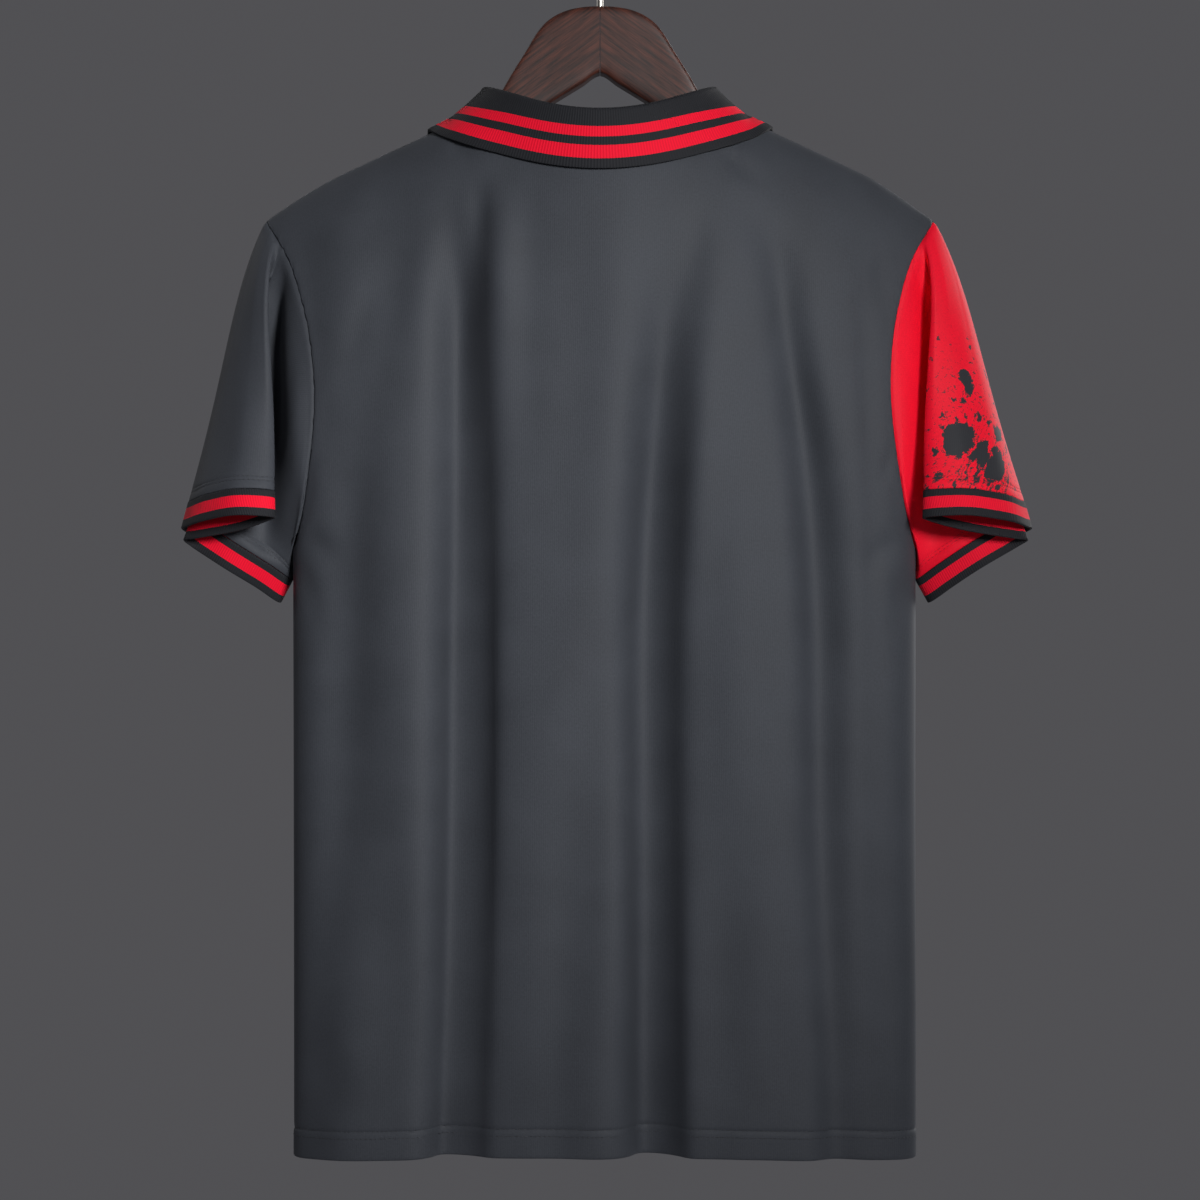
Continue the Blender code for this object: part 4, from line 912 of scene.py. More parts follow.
def stained_wood(dark, warm):
    """Beech, stained dark and lacquered satin: fine grain that runs up to the glued joint on both
    halves, as mirrored boards do, dark pores along it and a soft gloss over it."""
    made, tree, shader = new_material("stained lacquered beech")
    place = add_node(tree, "TexCoord").outputs["Object"]
    parts = add_node(tree, "SeparateXYZ", {"Vector": place})
    mirrored = add_node(tree, "Math", {0: parts.outputs["X"]}, operation="ABSOLUTE")
    joined = add_node(tree, "CombineXYZ", {"X": mirrored.outputs[0], "Y": parts.outputs["Y"],
                                           "Z": parts.outputs["Z"]})
    turned = add_node(tree, "Mapping", {"Vector": joined.outputs[0],
                                        "Rotation": (0.0, -GRAIN_TILT, 0.0)})
    wide = add_node(tree, "Mapping", {"Vector": turned.outputs[0], "Scale": GRAIN_STRETCH})
    grain = add_node(tree, "TexNoise", {"Vector": wide.outputs[0], "Scale": 1 / GRAIN_WIDTH,
                                        "Detail": 5.0, "Roughness": 0.62, "Distortion": 0.4})
    fine = add_node(tree, "Mapping", {"Vector": turned.outputs[0], "Scale": PORE_STRETCH})
    pores = add_node(tree, "TexNoise", {"Vector": fine.outputs[0], "Scale": PORES, "Detail": 2.0})
    share = add_node(tree, "MapRange", {"Value": grain.outputs["Fac"], "From Min": 0.36,
                                        "From Max": 0.66})
    ground = add_node(tree, "Mix", {"Factor": share.outputs["Result"], "A": rgba(dark),
                                    "B": rgba(warm)}, data_type="RGBA")
    pored = add_node(tree, "MapRange", {"Value": pores.outputs["Fac"], "From Min": 0.34,
                                        "From Max": 0.52, "To Min": 0.55, "To Max": 1.0})
    finish = add_node(tree, "Mix", {"Factor": 1.0, "A": ground.outputs["Result"],
                                    "B": pored.outputs["Result"]}, data_type="RGBA",
                      blend_type="MULTIPLY")
    bump = add_node(tree, "Bump", {"Height": pores.outputs["Fac"], "Strength": 0.12,
                                   "Distance": 0.0003})
    feed(tree, shader, {
        "Base Color": finish.outputs["Result"], "Roughness": 0.46, "Normal": bump.outputs["Normal"],
        "Specular IOR Level": 0.35, "Coat Weight": 0.08, "Coat Roughness": 0.30, "Coat IOR": 1.5,
    })
    return made


def brushed_steel(colour):
    """Nickel-plated steel wire, drawn and brushed: bright, with fine scratches round the wire."""
    made, tree, shader = new_material("brushed plated steel")
    place = add_node(tree, "UVMap", uv_map="cloth").outputs["UV"]
    drawn = add_node(tree, "Mapping", {"Vector": place, "Scale": SCRATCHES})
    scratch = add_node(tree, "TexNoise", {"Vector": drawn.outputs[0], "Scale": 1.0, "Detail": 2.0})
    dull = add_node(tree, "MapRange", {"Value": scratch.outputs["Fac"], "To Min": 0.20, "To Max": 0.38})
    bump = add_node(tree, "Bump", {"Height": scratch.outputs["Fac"], "Strength": 0.06,
                                   "Distance": 0.0001})
    feed(tree, shader, {"Base Color": rgba(colour), "Metallic": 1.0,
                        "Roughness": dull.outputs["Result"], "Normal": bump.outputs["Normal"]})
    return made


def matt_paper(colour):
    """Seamless studio paper: pale and matt, with a hardly visible tooth."""
    made, tree, shader = new_material("matt studio paper")
    place = add_node(tree, "TexCoord").outputs["Object"]
    tooth = add_node(tree, "TexNoise", {"Vector": place, "Scale": PAPER_TOOTH})
    bump = add_node(tree, "Bump", {"Height": tooth.outputs["Fac"], "Strength": 0.05,
                                   "Distance": 0.0003})
    feed(tree, shader, {"Base Color": rgba(colour), "Roughness": 0.9,
                        "Normal": bump.outputs["Normal"]})
    return made


def body_cloth():
    """The body's cloth, made once and shared."""
    name = "charcoal polyester interlock"
    scene = bpy.context.scene
    return bpy.data.materials.get(name) or interlock(name, scene.jersey_colours.charcoal,
                                                     scene.jersey_sizes)


# ---------------------------------------------------------------- panels
BELOW_ARMS_Z = -0.60        # the section along whose cloth the columns are spaced
SEAM_FADE = 0.014           # creases and waves die away this near a seam
NECK_WAVE_FADE = 0.09       # and the slow waves this near the shoulder and neck
HEM_GROOVE = 0.00060        # the hem's stitches draw the cloth in by this
HEM_GROOVE_WIDTH = 0.0011
HEM_STAND = 0.00035         # and its turned layer stands out by this
HEM_RIPPLE = 0.00016
HEM_RIPPLE_PITCH = 0.0088
HEM_RIPPLE_REACH = 0.005    # to each side of the stitches
PUCKER_BELOW = 0.02         # the seams pucker from this far under the armpit upwards
PUCKER_REACH = 0.03
TURN_DEPTH = 0.0020         # the seam allowances turn inwards by this
TURN_INSET = 0.0005         # and back from the edge by this


def panel_columns(side, count=150):
    """Shares of the half width, evenly spaced along the cloth of a section below the arms. There
    are more at the sides, where the cloth rolls into its seams, and one at each end of the neck."""
    dense = np.linspace(-1, 1, 4001)
    x = dense * BODY_HALF_WIDTH
    y = body_y(side, x, np.full_like(x, BELOW_ARMS_Z))
    length = np.concatenate([[0.0], np.cumsum(np.hypot(np.diff(x), np.diff(y)))])
    beside = np.array([0.0008, 0.0018, 0.0030])
    at = np.sort(np.concatenate([np.linspace(0, length[-1], count + 1), beside, length[-1] - beside]))
    shares = np.interp(at, length, dense)
    stops = [NECK_HALF_WIDTH / SHOULDER_TIP_X]
    if side == "front":
        stops.append(SLIT_HALF_WIDTH / BODY_HALF_WIDTH)
    for stop in stops:
        for signed in (-stop, stop):
            shares[np.abs(shares - signed).argmin()] = signed
    return shares


def panel_heights(hem_turn):
    """Heights of the rows over the hem's edge: close around the hem's stitches, even up to the
    armpits and closing up towards the shoulder seam, which is rounded."""
    around_stitch = hem_turn + np.array([-0.003, -0.0015, -0.0007, 0.0, 0.0007, 0.0015, 0.003])
    below = [0.0012, 0.003, 0.006, 0.010, hem_turn - HEM_TWIN]
    hem = np.concatenate([below, around_stitch, [hem_turn + 0.006]])
    lower = np.linspace(hem[-1] + 0.0037, ARMPIT_Z - HEM_Z, 106)
    climb = np.sort(np.append(np.linspace(0, 1, 70), [0.992]))
    upper = (ARMPIT_Z - HEM_Z) + (SHOULDER_TIP_Z - ARMPIT_Z) * (1 - (1 - climb) ** 1.6)
    return np.concatenate([hem, lower[:-1], upper])


def panel_xz(side, columns, heights):
    """x from the centre line and z over a panel's grid. Near the middle the columns are upright,
    towards the sides they follow the side seam and the armhole, and rows near the hem follow it."""
    rows = heights[:, None] / PANEL_HEIGHT
    reach = edge_x(side, HEM_Z + heights[:, None])
    lean = columns[None, :] ** 2
    x = columns[None, :] * ((1 - lean) * (SHOULDER_TIP_X * rows + BODY_HALF_WIDTH * (1 - rows))
                            + reach * lean)
    rise = BACK_HEM_RISE if side == "back" else 0.0
    hem = HEM_Z + rise * (1 - lean)
    at_neck = np.abs(columns) * SHOULDER_TIP_X < NECK_HALF_WIDTH
    top = np.where(at_neck, neck_z(side, columns * SHOULDER_TIP_X), ridge_z(columns * SHOULDER_TIP_X))
    spare = top[None, :] - hem - PANEL_HEIGHT
    return x, hem + heights[:, None] + spare * rows**2


def panel_grid(side, columns, heights, hem_turn):
    """The panel's outer surface: the body's form, pressed in by the creases and drawn in at the
    seams and at the hem's stitches. Returns its points and outward normals."""
    x, z = panel_xz(side, columns, heights)
    base = body_points(side, x, z)
    base[..., 1] += SEAM_GAP / 2 * (-1 if side == "back" else 1)
    normals = normals_of(base) * (1 if side == "back" else -1)
    across, up = arc(base, 1), arc(base, 0)
    to_side = np.minimum(across, across[:, -1:] - across)
    to_top = up[-1:] - up
    to_seam = np.minimum(to_side, to_top)
    creases = BACK_CREASES if side == "back" else FRONT_CREASES
    waves = slow_waves(x, z, seed=7 if side == "back" else 19) * ease(to_top / NECK_WAVE_FADE)
    pressed = crease_depth(creases, x, z) + waves
    if side == "back":
        pressed = pressed + fold_depth(BACK_VALLEYS, x, z) * across_share(x, z)
    pressed = pressed * ease(to_seam / SEAM_FADE)
    pressed += seam_dip(to_seam)
    sewn = (heights[:, None] > ARMPIT_Z - HEM_Z - PUCKER_BELOW) & (to_side < PUCKER_REACH)
    pressed += np.where(sewn, seam_pucker(up, to_side), 0.0)
    over_stitch = heights[:, None] - hem_turn
    pressed += HEM_GROOVE * np.exp(-((over_stitch / HEM_GROOVE_WIDTH) ** 2))
    pressed -= HEM_STAND * ease(-over_stitch / 0.003)
    ripple = HEM_RIPPLE * np.sin(across * 2 * math.pi / HEM_RIPPLE_PITCH)
    pressed += ripple * np.exp(-((over_stitch / HEM_RIPPLE_REACH) ** 2))
    return base - normals * pressed[..., None], normals


def turned_hem(grid, normals, heights, hem_turn, apart):
    """Rows of the hem's inner layer, from its raw edge down and round the hem's edge. The inner
    layer is the outer one moved in, and the turn is a half circle between them."""
    inside = [np.abs(heights - h).argmin() for h in (hem_turn, 0.017, 0.014, 0.010, 0.006, 0.003)]
    inner = [grid[i] - normals[i] * apart for i in inside] + [grid[0] - normals[0] * apart]
    up = unit(grid[1] - grid[0])
    middle = grid[0] - normals[0] * apart / 2
    turn = [middle + (normals[0] * -math.cos(a) - up * math.sin(a)) * apart / 2
            for a in np.radians([36, 72, 108, 144])]
    return np.array(inner + turn)


def turned_in(grid, normals):
    """The grid with one more column at each side and one more row on top, which turn inwards
    along the seams as seam allowances do."""
    def flap(edge, beside, normal):
        return edge + unit(beside - edge) * TURN_INSET - normal * TURN_DEPTH

    top = flap(grid[-1], grid[-2], normals[-1])
    grid = np.concatenate([grid, top[None]])
    normals = np.concatenate([normals, normals[-1:]])
    left = flap(grid[:, 0], grid[:, 1], normals[:, 0])
    right = flap(grid[:, -1], grid[:, -2], normals[:, -1])
    return np.concatenate([left[:, None], grid, right[:, None]], axis=1)


def add_panel(side):
    """A panel with its turned hem and the two rows of stitches that hold the hem."""
    sizes = bpy.context.scene.jersey_sizes
    columns, heights = panel_columns(side), panel_heights(sizes.hem_turn)
    outer, normals = panel_grid(side, columns, heights, sizes.hem_turn)
    hem = turned_hem(outer, normals, heights, sizes.hem_turn, sizes.wall + 0.0002)
    rows = np.concatenate([hem, outer])
    grid = turned_in(rows, np.concatenate([np.repeat(normals[:1], len(hem), axis=0), normals]))
    keep = None
    if side == "front":
        middle = (grid[:-1, :-1] + grid[1:, 1:]) / 2
        shift = body_shift(middle[..., 2])
        keep = ~((np.abs(middle[..., 0] - shift) < SLIT_HALF_WIDTH) & (middle[..., 2] > SLIT_FOOT_Z))
    mesh = surface_mesh(f"{side}_cloth", grid, plain_uv(grid), flip=side == "front", keep=keep)
    cloth = add_piece(f"{side}_cloth", mesh, body_cloth(), [f"{side}_panel"])
    add_wall(cloth, sizes.wall)
    surface = outer + normals * sizes.wall / 2
    lines = []
    for height in (sizes.hem_turn, sizes.hem_turn - HEM_TWIN):
        at = np.abs(heights - height).argmin()
        lines.append(stitch_line(surface[at], normals[at], sizes))
    stitches = add_stitches(f"{side}_hem_stitches", lines, sizes)


# ---------------------------------------------------------------- sleeves
CAP_SPREAD = 0.16           # in threads, how far round the head it puffs out
SWELL_PEAK = 0.1055         # the largest value of s (1 - s)^3, which makes the swell 1 there
ARMHOLE_FADE = 0.012        # creases die away this near the armhole
CUFF_FADE = 0.010           # and this near the cuff
TWIN_GROOVE = 0.00035       # the twin stitches draw the cloth in by this
TWIN_GROOVE_WIDTH = 0.0008
CUFF_WAVE = 0.00035         # the cuff's free edge waves by this
CUFF_WAVE_LENGTH = 0.047
CUFF_WAVE_START = {True: 0.4, False: 2.1}   # in radians, on the right and on the left


def armhole_edge(right, side, count=400):
    """The armhole edge of a panel from armpit to shoulder tip."""
    z = np.linspace(ARMPIT_Z, SHOULDER_TIP_Z, count)
    x = edge_x(side, z) * (1 if right else -1)
    return body_points(side, x, z)


def armhole_loop(right, threads):
    """Points of the armhole: thread 0 at the armpit, up the back to 0.5, down the front to 1."""
    back = along(armhole_edge(right, "back"), np.clip(threads * 2, 0, 1))
    front = along(armhole_edge(right, "front"), np.clip(2 - threads * 2, 0, 1))
    return np.where((threads <= 0.5)[:, None], back, front)


def cuff_seam(right, count):
    """The seam ring between sleeve and cuff, a smooth closed curve through its table, with the
    armhole thread and the pleat's opening at each of its points."""
    sign = 1.0 if right else -1.0
    points = np.array([[sign * (p.right_x if right else p.left_x), p.y, p.z] for p in CUFF_SEAM])
    wrapped = np.concatenate([points[-2:], points, points[:3]])
    knots = np.concatenate([[0.0], np.cumsum(np.linalg.norm(np.diff(wrapped, axis=0), axis=1) ** 0.5)])
    knots -= knots[2]
    at = np.linspace(0, knots[len(points) + 2], count, endpoint=False)
    ring = np.stack([through(knots, c, at) for c in wrapped.T], axis=-1)
    own = knots[2:len(points) + 3]
    threads = np.interp(at, own, [p.thread for p in CUFF_SEAM] + [1.0])
    opening = np.interp(at, own, [p.open for p in CUFF_SEAM] + [CUFF_SEAM[0].open])
    return ring, threads, opening


def sleeve_start(right, threads):
    """The armhole moved outwards by the seam's gap, which widens at the armpit."""
    loop = armhole_loop(right, threads)
    near_armpit = np.minimum(threads, 1 - threads)
    gap = ARMHOLE_GAP + (ARMPIT_GAP - ARMHOLE_GAP) * np.exp(-((near_armpit / ARMPIT_REACH) ** 2))
    loop[:, 0] += gap if right else -gap
    return loop


def sleeve_points(right, around, shares):
    """Points of the sleeve at shares of its length, one row of shares for each ring: straight
    lines from the armhole to the cuff seam, bowed out at the head and where the pleat opens."""
    sign = 1.0 if right else -1.0
    ring, threads, opening = cuff_seam(right, around)
    start = sleeve_start(right, threads)
    swell = shares * (1 - shares) ** 3 / SWELL_PEAK
    grid = start[None] * (1 - shares[..., None]) + ring[None] * shares[..., None]
    grid[..., 0] += sign * CAP_PUFF * np.exp(-(((threads - 0.5) / CAP_SPREAD) ** 2)) * swell
    grid[..., 1] -= opening * swell
    return grid


def sleeve_shares(right, around):
    """Shares of the sleeve's length for each ring: the last rings run at set distances from the
    cuff seam, for its stitches, and the others share out the rest."""
    ring, threads, _ = cuff_seam(right, around)
    length = np.linalg.norm(ring - sleeve_start(right, threads), axis=1)
    near = np.array([0.012, 0.0104, 0.0095, 0.0088, 0.0081, 0.0075, 0.0069, 0.0062, 0.0055, 0.0045,
                     0.003, 0.0016, 0.0007, 0.0])
    tail = 1 - near[:, None] / length[None, :]
    head = np.sort(np.append(np.linspace(0, 1, 52) ** 1.15, [0.005, 0.018]))
    return np.concatenate([head[:-1, None] * tail[:1], tail])


def sleeve_surface(right, around=220):
    """The sleeve's grid with its creases, its drawn-in seams and the grooves of the stitches.
    Returns points, outward normals and where the lines crowd at the armpit."""
    shares = sleeve_shares(right, around)
    base = sleeve_points(right, around, shares)
    _, threads, _ = cuff_seam(right, around)
    normals = normals_of(base, ring=True) * (-1 if right else 1)
    # The lines crowd at the armpit, so the directions of a lower ring are used there.
    crowded = np.exp(-((np.minimum(threads, 1 - threads) / ARMPIT_CROWD) ** 2))
    normals = unit(normals * (1 - crowded)[:, None] + normals[ARMPIT_CLEAR_ROW] * crowded[:, None])
    out_x = np.abs(base[..., 0])
    z = base[..., 2]
    under = ease(threads / 0.05) * ease((PLEAT_FOLD - threads) / 0.03)
    over = ease((threads - PLEAT_EDGE) / 0.008) * ease((PLEAT_SHOULDER - threads) / 0.006)
    front = ease((threads - 0.505) / 0.04) * ease((1 - threads) / 0.05)
    deeper = 1.0 if right else LEFT_UNDER_DEEPER
    pressed = (crease_depth(UNDER_LAYER_CREASES, out_x, z) * under * deeper
               + crease_depth(OVER_LAYER_CREASES, out_x, z) * over
               + crease_depth(FRONT_SLEEVE_CREASES, out_x, z) * front)
    up = arc(base, 0)
    to_armhole, to_cuff = up, up[-1:] - up
    pressed *= ease(to_armhole / ARMHOLE_FADE) * ease(to_cuff / CUFF_FADE)
    start_run = arc(base[:1], 1)[0]
    pressed += seam_pucker(start_run[None, :], to_armhole) * ease(np.minimum(threads, 1 - threads) / 0.06)
    pressed += seam_dip(to_armhole, depth=0.0009, width=0.0022) * (1 - crowded) + seam_dip(to_cuff)
    for height in TWIN_STITCHES:
        pressed += TWIN_GROOVE * np.exp(-(((to_cuff - height) / TWIN_GROOVE_WIDTH) ** 2))
    return base - normals * pressed[..., None], normals, crowded


def add_sleeve(right, cloth_material, thread):
    """A sleeve from its armhole to the cuff seam, with the twin stitches over the cuff."""
    sizes = bpy.context.scene.jersey_sizes
    name = "right" if right else "left"
    grid, normals, crowded = sleeve_surface(right)
    # At the armpit the allowance hardly turns in and reaches past the edge, to narrow the gap.
    depth = TURN_DEPTH - 0.0018 * crowded
    inner = grid[0] + unit(grid[1] - grid[0]) * (TURN_INSET - 0.0009 * crowded)[:, None]
    inner -= normals[0] * depth[:, None]
    whole = np.concatenate([inner[None], grid])
    mesh = surface_mesh(f"sleeve_{name}_cloth", whole, plain_uv(whole, ring=True), ring=True,
                        flip=right)
    cloth = add_piece(f"sleeve_{name}_cloth", mesh, cloth_material, [f"sleeve_{name}"])
    add_wall(cloth, sizes.wall)
    surface = grid + normals * sizes.wall / 2
    to_cuff = arc(grid, 0)[-1:] - arc(grid, 0)
    lines = []
    for height in TWIN_STITCHES:
        row = np.abs(to_cuff - height).argmin(axis=0)
        at = np.arange(grid.shape[1])
        lines.append(stitch_line(surface[row, at], normals[row, at], sizes, closed=True))
    stitches = add_stitches(f"sleeve_{name}_stitches", lines, sizes, thread)


def cuff_surface(right, around=220, lengthwise=9):
    """Rings of the cuff, which goes on from the sleeve square to the seam and waves a little
    towards its free edge."""
    ring, threads, _ = cuff_seam(right, around)
    run = unit(ring - sleeve_start(right, threads))
    tangent = unit(np.roll(ring, -1, axis=0) - np.roll(ring, 1, axis=0))
    square = unit(run - (run * tangent).sum(1, keepdims=True) * tangent)
    for _ in range(around):
        square = (np.roll(square, 1, axis=0) + square * 2 + np.roll(square, -1, axis=0)) / 4
    square = unit(square)
    shares = np.linspace(SEAM_GAP / CUFF_HEIGHT, 1, lengthwise + 1)[:, None, None]
    grid = ring[None] + square[None] * CUFF_HEIGHT * shares
    normals = normals_of(grid, ring=True) * (-1 if right else 1)
    distance = arc(ring[None], 1)[0]
    wave = CUFF_WAVE * np.sin(distance * 2 * math.pi / CUFF_WAVE_LENGTH + CUFF_WAVE_START[right])
    return grid + normals * wave[None, :, None] * shares


def add_cuff(right, material):
    """A cuff, from the sleeve's seam to its own finished edge."""
    name = "right" if right else "left"
    sizes = bpy.context.scene.jersey_sizes
    grid = cuff_surface(right)
    mesh = surface_mesh(f"cuff_{name}_rib", grid, plain_uv(grid, ring=True), ring=True, flip=right)
    cuff = add_piece(f"cuff_{name}_rib", mesh, material, [f"cuff_{name}"])
    add_wall(cuff, sizes.rib_wall, rounded=0.0005)


# ---------------------------------------------------------------- collar
COLLAR_SECTION_Z = -0.19    # the section whose width serves for the cloth under the collar
SLOPE_STEP = 0.0005         # between two places whose heights give a slope


def neck_line():
    """The neck edge from the collar's left front end, round the back, to its right end."""
    dense = np.linspace(0, 1, 400)
    side_x = COLLAR_END_X + (NECK_HALF_WIDTH - COLLAR_END_X) * (1 - (1 - dense) ** 2)
    right = body_points("front", side_x, neck_z("front", side_x))
    left = body_points("front", -side_x, neck_z("front", side_x))
    back_x = np.sin(np.linspace(-1, 1, 800) * math.pi / 2) * NECK_HALF_WIDTH
    back = body_points("back", back_x, neck_z("back", back_x))
    line = np.concatenate([left[:-1], back, right[::-1][1:]])
    count = int(round(arc(line, 0)[-1] / COLLAR_STEP))
    return along(line, np.linspace(0, 1, count + 1))


def surface_z(x, y):
    """Height of the shoulders' cloth over a place in plan, or far below where there is none."""
    side_y = y - shoulder_forward(x, np.full_like(x, SHOULDER_TIP_Z))
    depth = np.where(side_y < 0, BODY_DEPTH[-1].back, BODY_DEPTH[-1].front)
    leave = from_table(RIDGE_LEAVE, "half_width", "length", np.abs(x))
    ratio = np.abs(side_y) / (depth * across_share(x, np.full_like(x, COLLAR_SECTION_Z)))
    inside = np.log(np.clip(1 - ratio**2, 1e-4, 1.0))
    return ridge_z(x) + leave * inside


def above_cloth(points):
    """How far points are from the shoulders' cloth, and which way that is. The cloth is taken as
    the slope between its place right under the point and its place level with the point."""
    x, y, z = np.moveaxis(points, -1, 0)
    middle = shoulder_forward(x, np.full_like(x, SHOULDER_TIP_Z))
    side = np.where(y < middle, -1.0, 1.0)
    depth = np.where(y < middle, BODY_DEPTH[-1].back, BODY_DEPTH[-1].front)
    leave = from_table(RIDGE_LEAVE, "half_width", "length", np.abs(x))
    drop = np.maximum(ridge_z(x) - z, 0.0)
    wall = depth * across_share(x, np.full_like(x, COLLAR_SECTION_Z)) * np.sqrt(1 - np.exp(-drop / leave))
    below = z - surface_z(x, y)
    beside = side * (y - middle) - wall
    steep = np.clip(below / np.where(np.abs(beside) < 1e-6, 1e-6, beside), 0.0, 60.0)
    sideways = (surface_z(x, y) - surface_z(x + SLOPE_STEP, y)) / SLOPE_STEP
    slope = np.stack([np.clip(sideways, -1.5, 1.5), side * steep, np.ones_like(x)], axis=-1)
    length = np.linalg.norm(slope, axis=-1)
    return below / length, slope / length[..., None]


def lifted(points, clear):
    """Points moved square off the shoulders' cloth until they are this far above its middle."""
    for _ in range(4):
        height, normal = above_cloth(points)
        points = points + normal * np.maximum(clear - height, 0.0)[..., None]
    return points


def smoothed(vectors, passes):
    """Each vector with a share of its neighbours, several times over. The end ones stay."""
    for _ in range(passes):
        vectors[1:-1] = (vectors[:-2] + 2 * vectors[1:-1] + vectors[2:]) / 4
    return vectors


def collar_surface():
    """Rows from the neck seam up the stand, over the fold and down the fall. Returns the points
    and, for the stripes, each point's distance from the collar's outer edge."""
    seam = neck_line()
    length = arc(seam, 0)
    share = np.abs(2 * length / length[-1] - 1)
    rise, lean, fall, slope = (from_table(COLLAR, "share", c, share)[:, None]
                               for c in ("rise", "lean", "fall", "slope_deg"))
    tangent = unit(smoothed(np.gradient(seam, axis=0), 24))
    outward = unit(np.stack([-tangent[:, 1], tangent[:, 0], np.zeros(len(seam))], axis=-1))
    outward *= np.sign((seam * outward)[:, :2].sum(1))[:, None]
    up = np.array([0.0, 0.0, 1.0])
    _, normal = above_cloth(seam)
    inward = unit(np.cross(tangent, normal))
    inward *= np.sign((inward * (up - outward)).sum(1))[:, None]
    upright = np.sqrt(1 - np.clip(inward[:, 2:3], 0, 1) ** 2)
    base = seam + inward * (COLLAR_SEAM_END + COLLAR_SEAM_SIDE * upright)
    crest = seam + up * rise + outward * lean
    tangent = unit(smoothed(np.gradient(crest, axis=0), 24))
    outward = unit(outward - (outward * tangent).sum(1, keepdims=True) * tangent)
    down = np.cross(tangent, outward)
    down *= -np.sign(down[:, 2:3])
    angle = np.radians(slope)
    drop = unit(outward * np.cos(angle) + down * np.sin(angle))
    bend = COLLAR_FOLD_RADIUS
    rows = [base + (crest - base) * s for s in np.linspace(0, 1, 7)]
    rows += [crest + outward * bend * (1 - math.cos(a)) - down * bend * math.sin(a)
             for a in np.radians(np.linspace(25, 155, 6))]
    start = crest + outward * 2 * bend
    shares = np.linspace(0.01, 1, 22)
    rows += [start + drop * fall * s for s in shares]
    grid = np.array(rows)
    grid[-len(shares):] = lifted(grid[-len(shares):], COLLAR_CLEAR)
    from_edge = arc(grid[::-1], 0)[::-1]
    return grid, from_edge


# ---------------------------------------------------------------- placket
def front_surface(x, z, out):
    """Points of the front panel moved out along its normal, and that normal."""
    step = 0.001
    here = body_points("front", x, z)
    beside = body_points("front", x + step, z) - here
    above = body_points("front", x, z + step) - here
    normal = unit(np.cross(above, beside))
    return here + normal * out, normal


def band_grid(out):
    """The placket band's middle surface, from its foot to the neck edge."""
    columns = np.linspace(-PLACKET_HALF_WIDTH, PLACKET_HALF_WIDTH, 17)
    shares = np.linspace(0, 1, 61)[:, None]
    top = neck_z("front", columns)[None, :] - SEAM_GAP
    z = PLACKET_FOOT_Z + shares * (top - PLACKET_FOOT_Z)
    grid, _ = front_surface(np.broadcast_to(columns[None, :], z.shape), z, out)
    return grid


def band_lines(out):
    """Paths of the stitches along the band's two edges and round the box at its foot."""
    side = PLACKET_HALF_WIDTH - EDGE_STITCH
    foot = PLACKET_FOOT_Z + EDGE_STITCH
    box_top = foot + BOX_STITCH_HEIGHT
    top = float(neck_z("front", side)) - 0.003
    ends = [((-side, foot), (-side, top)), ((side, foot), (side, top)), ((-side, foot), (side, foot)),
            ((-side, box_top), (side, box_top)), ((-side, foot), (side, box_top)),
            ((-side, box_top), (side, foot))]
    lines = []
    for (x1, z1), (x2, z2) in ends:
        t = np.linspace(0, 1, 80)
        lines.append(front_surface(x1 + (x2 - x1) * t, z1 + (z2 - z1) * t, out))
    return lines


def buttonhole_stitches(out, sizes):
    """Satin stitches that lie square to each buttonhole's slit, and two bars at its ends."""
    starts, ends, normals = [], [], []
    for z in BUTTON_Z:
        rows = z + np.linspace(-0.5, 0.5, 30) * BUTTONHOLE_LENGTH
        for side in (-1.0, 1.0):
            near, normal = front_surface(np.full_like(rows, side * 0.0003), rows, out)
            far, _ = front_surface(np.full_like(rows, side * 0.0016), rows, out)
            starts.append(near)
            ends.append(far)
            normals.append(normal)
        bars = z + np.array([-0.5, 0.5]) * (BUTTONHOLE_LENGTH + sizes.thread * 2)
        left, normal = front_surface(np.full(2, -0.0017), bars, out)
        right, _ = front_surface(np.full(2, 0.0017), bars, out)
        starts.append(left)
        ends.append(right)
        normals.append(normal)
    return tuple(np.concatenate(part) for part in (starts, ends, normals))


# ---------------------------------------------------------------- operators
class BuildPanels(bpy.types.Operator):
    """Builds the back and the front of the body with their turned hems"""
    bl_idname = "jersey.panels"
    bl_label = "Back and front"

    def execute(self, context):
        add_panel("back")
        add_panel("front")
        return {"FINISHED"}


class BuildSleeves(bpy.types.Operator):
    """Builds the charcoal left sleeve and the printed red right sleeve"""
    bl_idname = "jersey.sleeves"
    bl_label = "Sleeves"

    def execute(self, context):
        colours, sizes = context.scene.jersey_colours, context.scene.jersey_sizes
        red = interlock("red printed polyester interlock", colours.red, sizes, ink=colours.print_ink)
        red_thread = sewing_thread("red spun polyester thread", colours.red_thread)
        add_sleeve(True, red, red_thread)
        add_sleeve(False, body_cloth(), charcoal_thread())
        return {"FINISHED"}


class BuildCuffs(bpy.types.Operator):
    """Builds the two striped rib cuffs"""
    bl_idname = "jersey.cuffs"
    bl_label = "Cuffs"

    def execute(self, context):
        colours, sizes = context.scene.jersey_colours, context.scene.jersey_sizes
        rib = rib_knit("striped polyester rib, cuffs", colours.rib_charcoal, colours.rib_red,
                       CUFF_STRIPES, CUFF_HEIGHT, sizes)
        add_cuff(True, rib)
        add_cuff(False, rib)
        return {"FINISHED"}


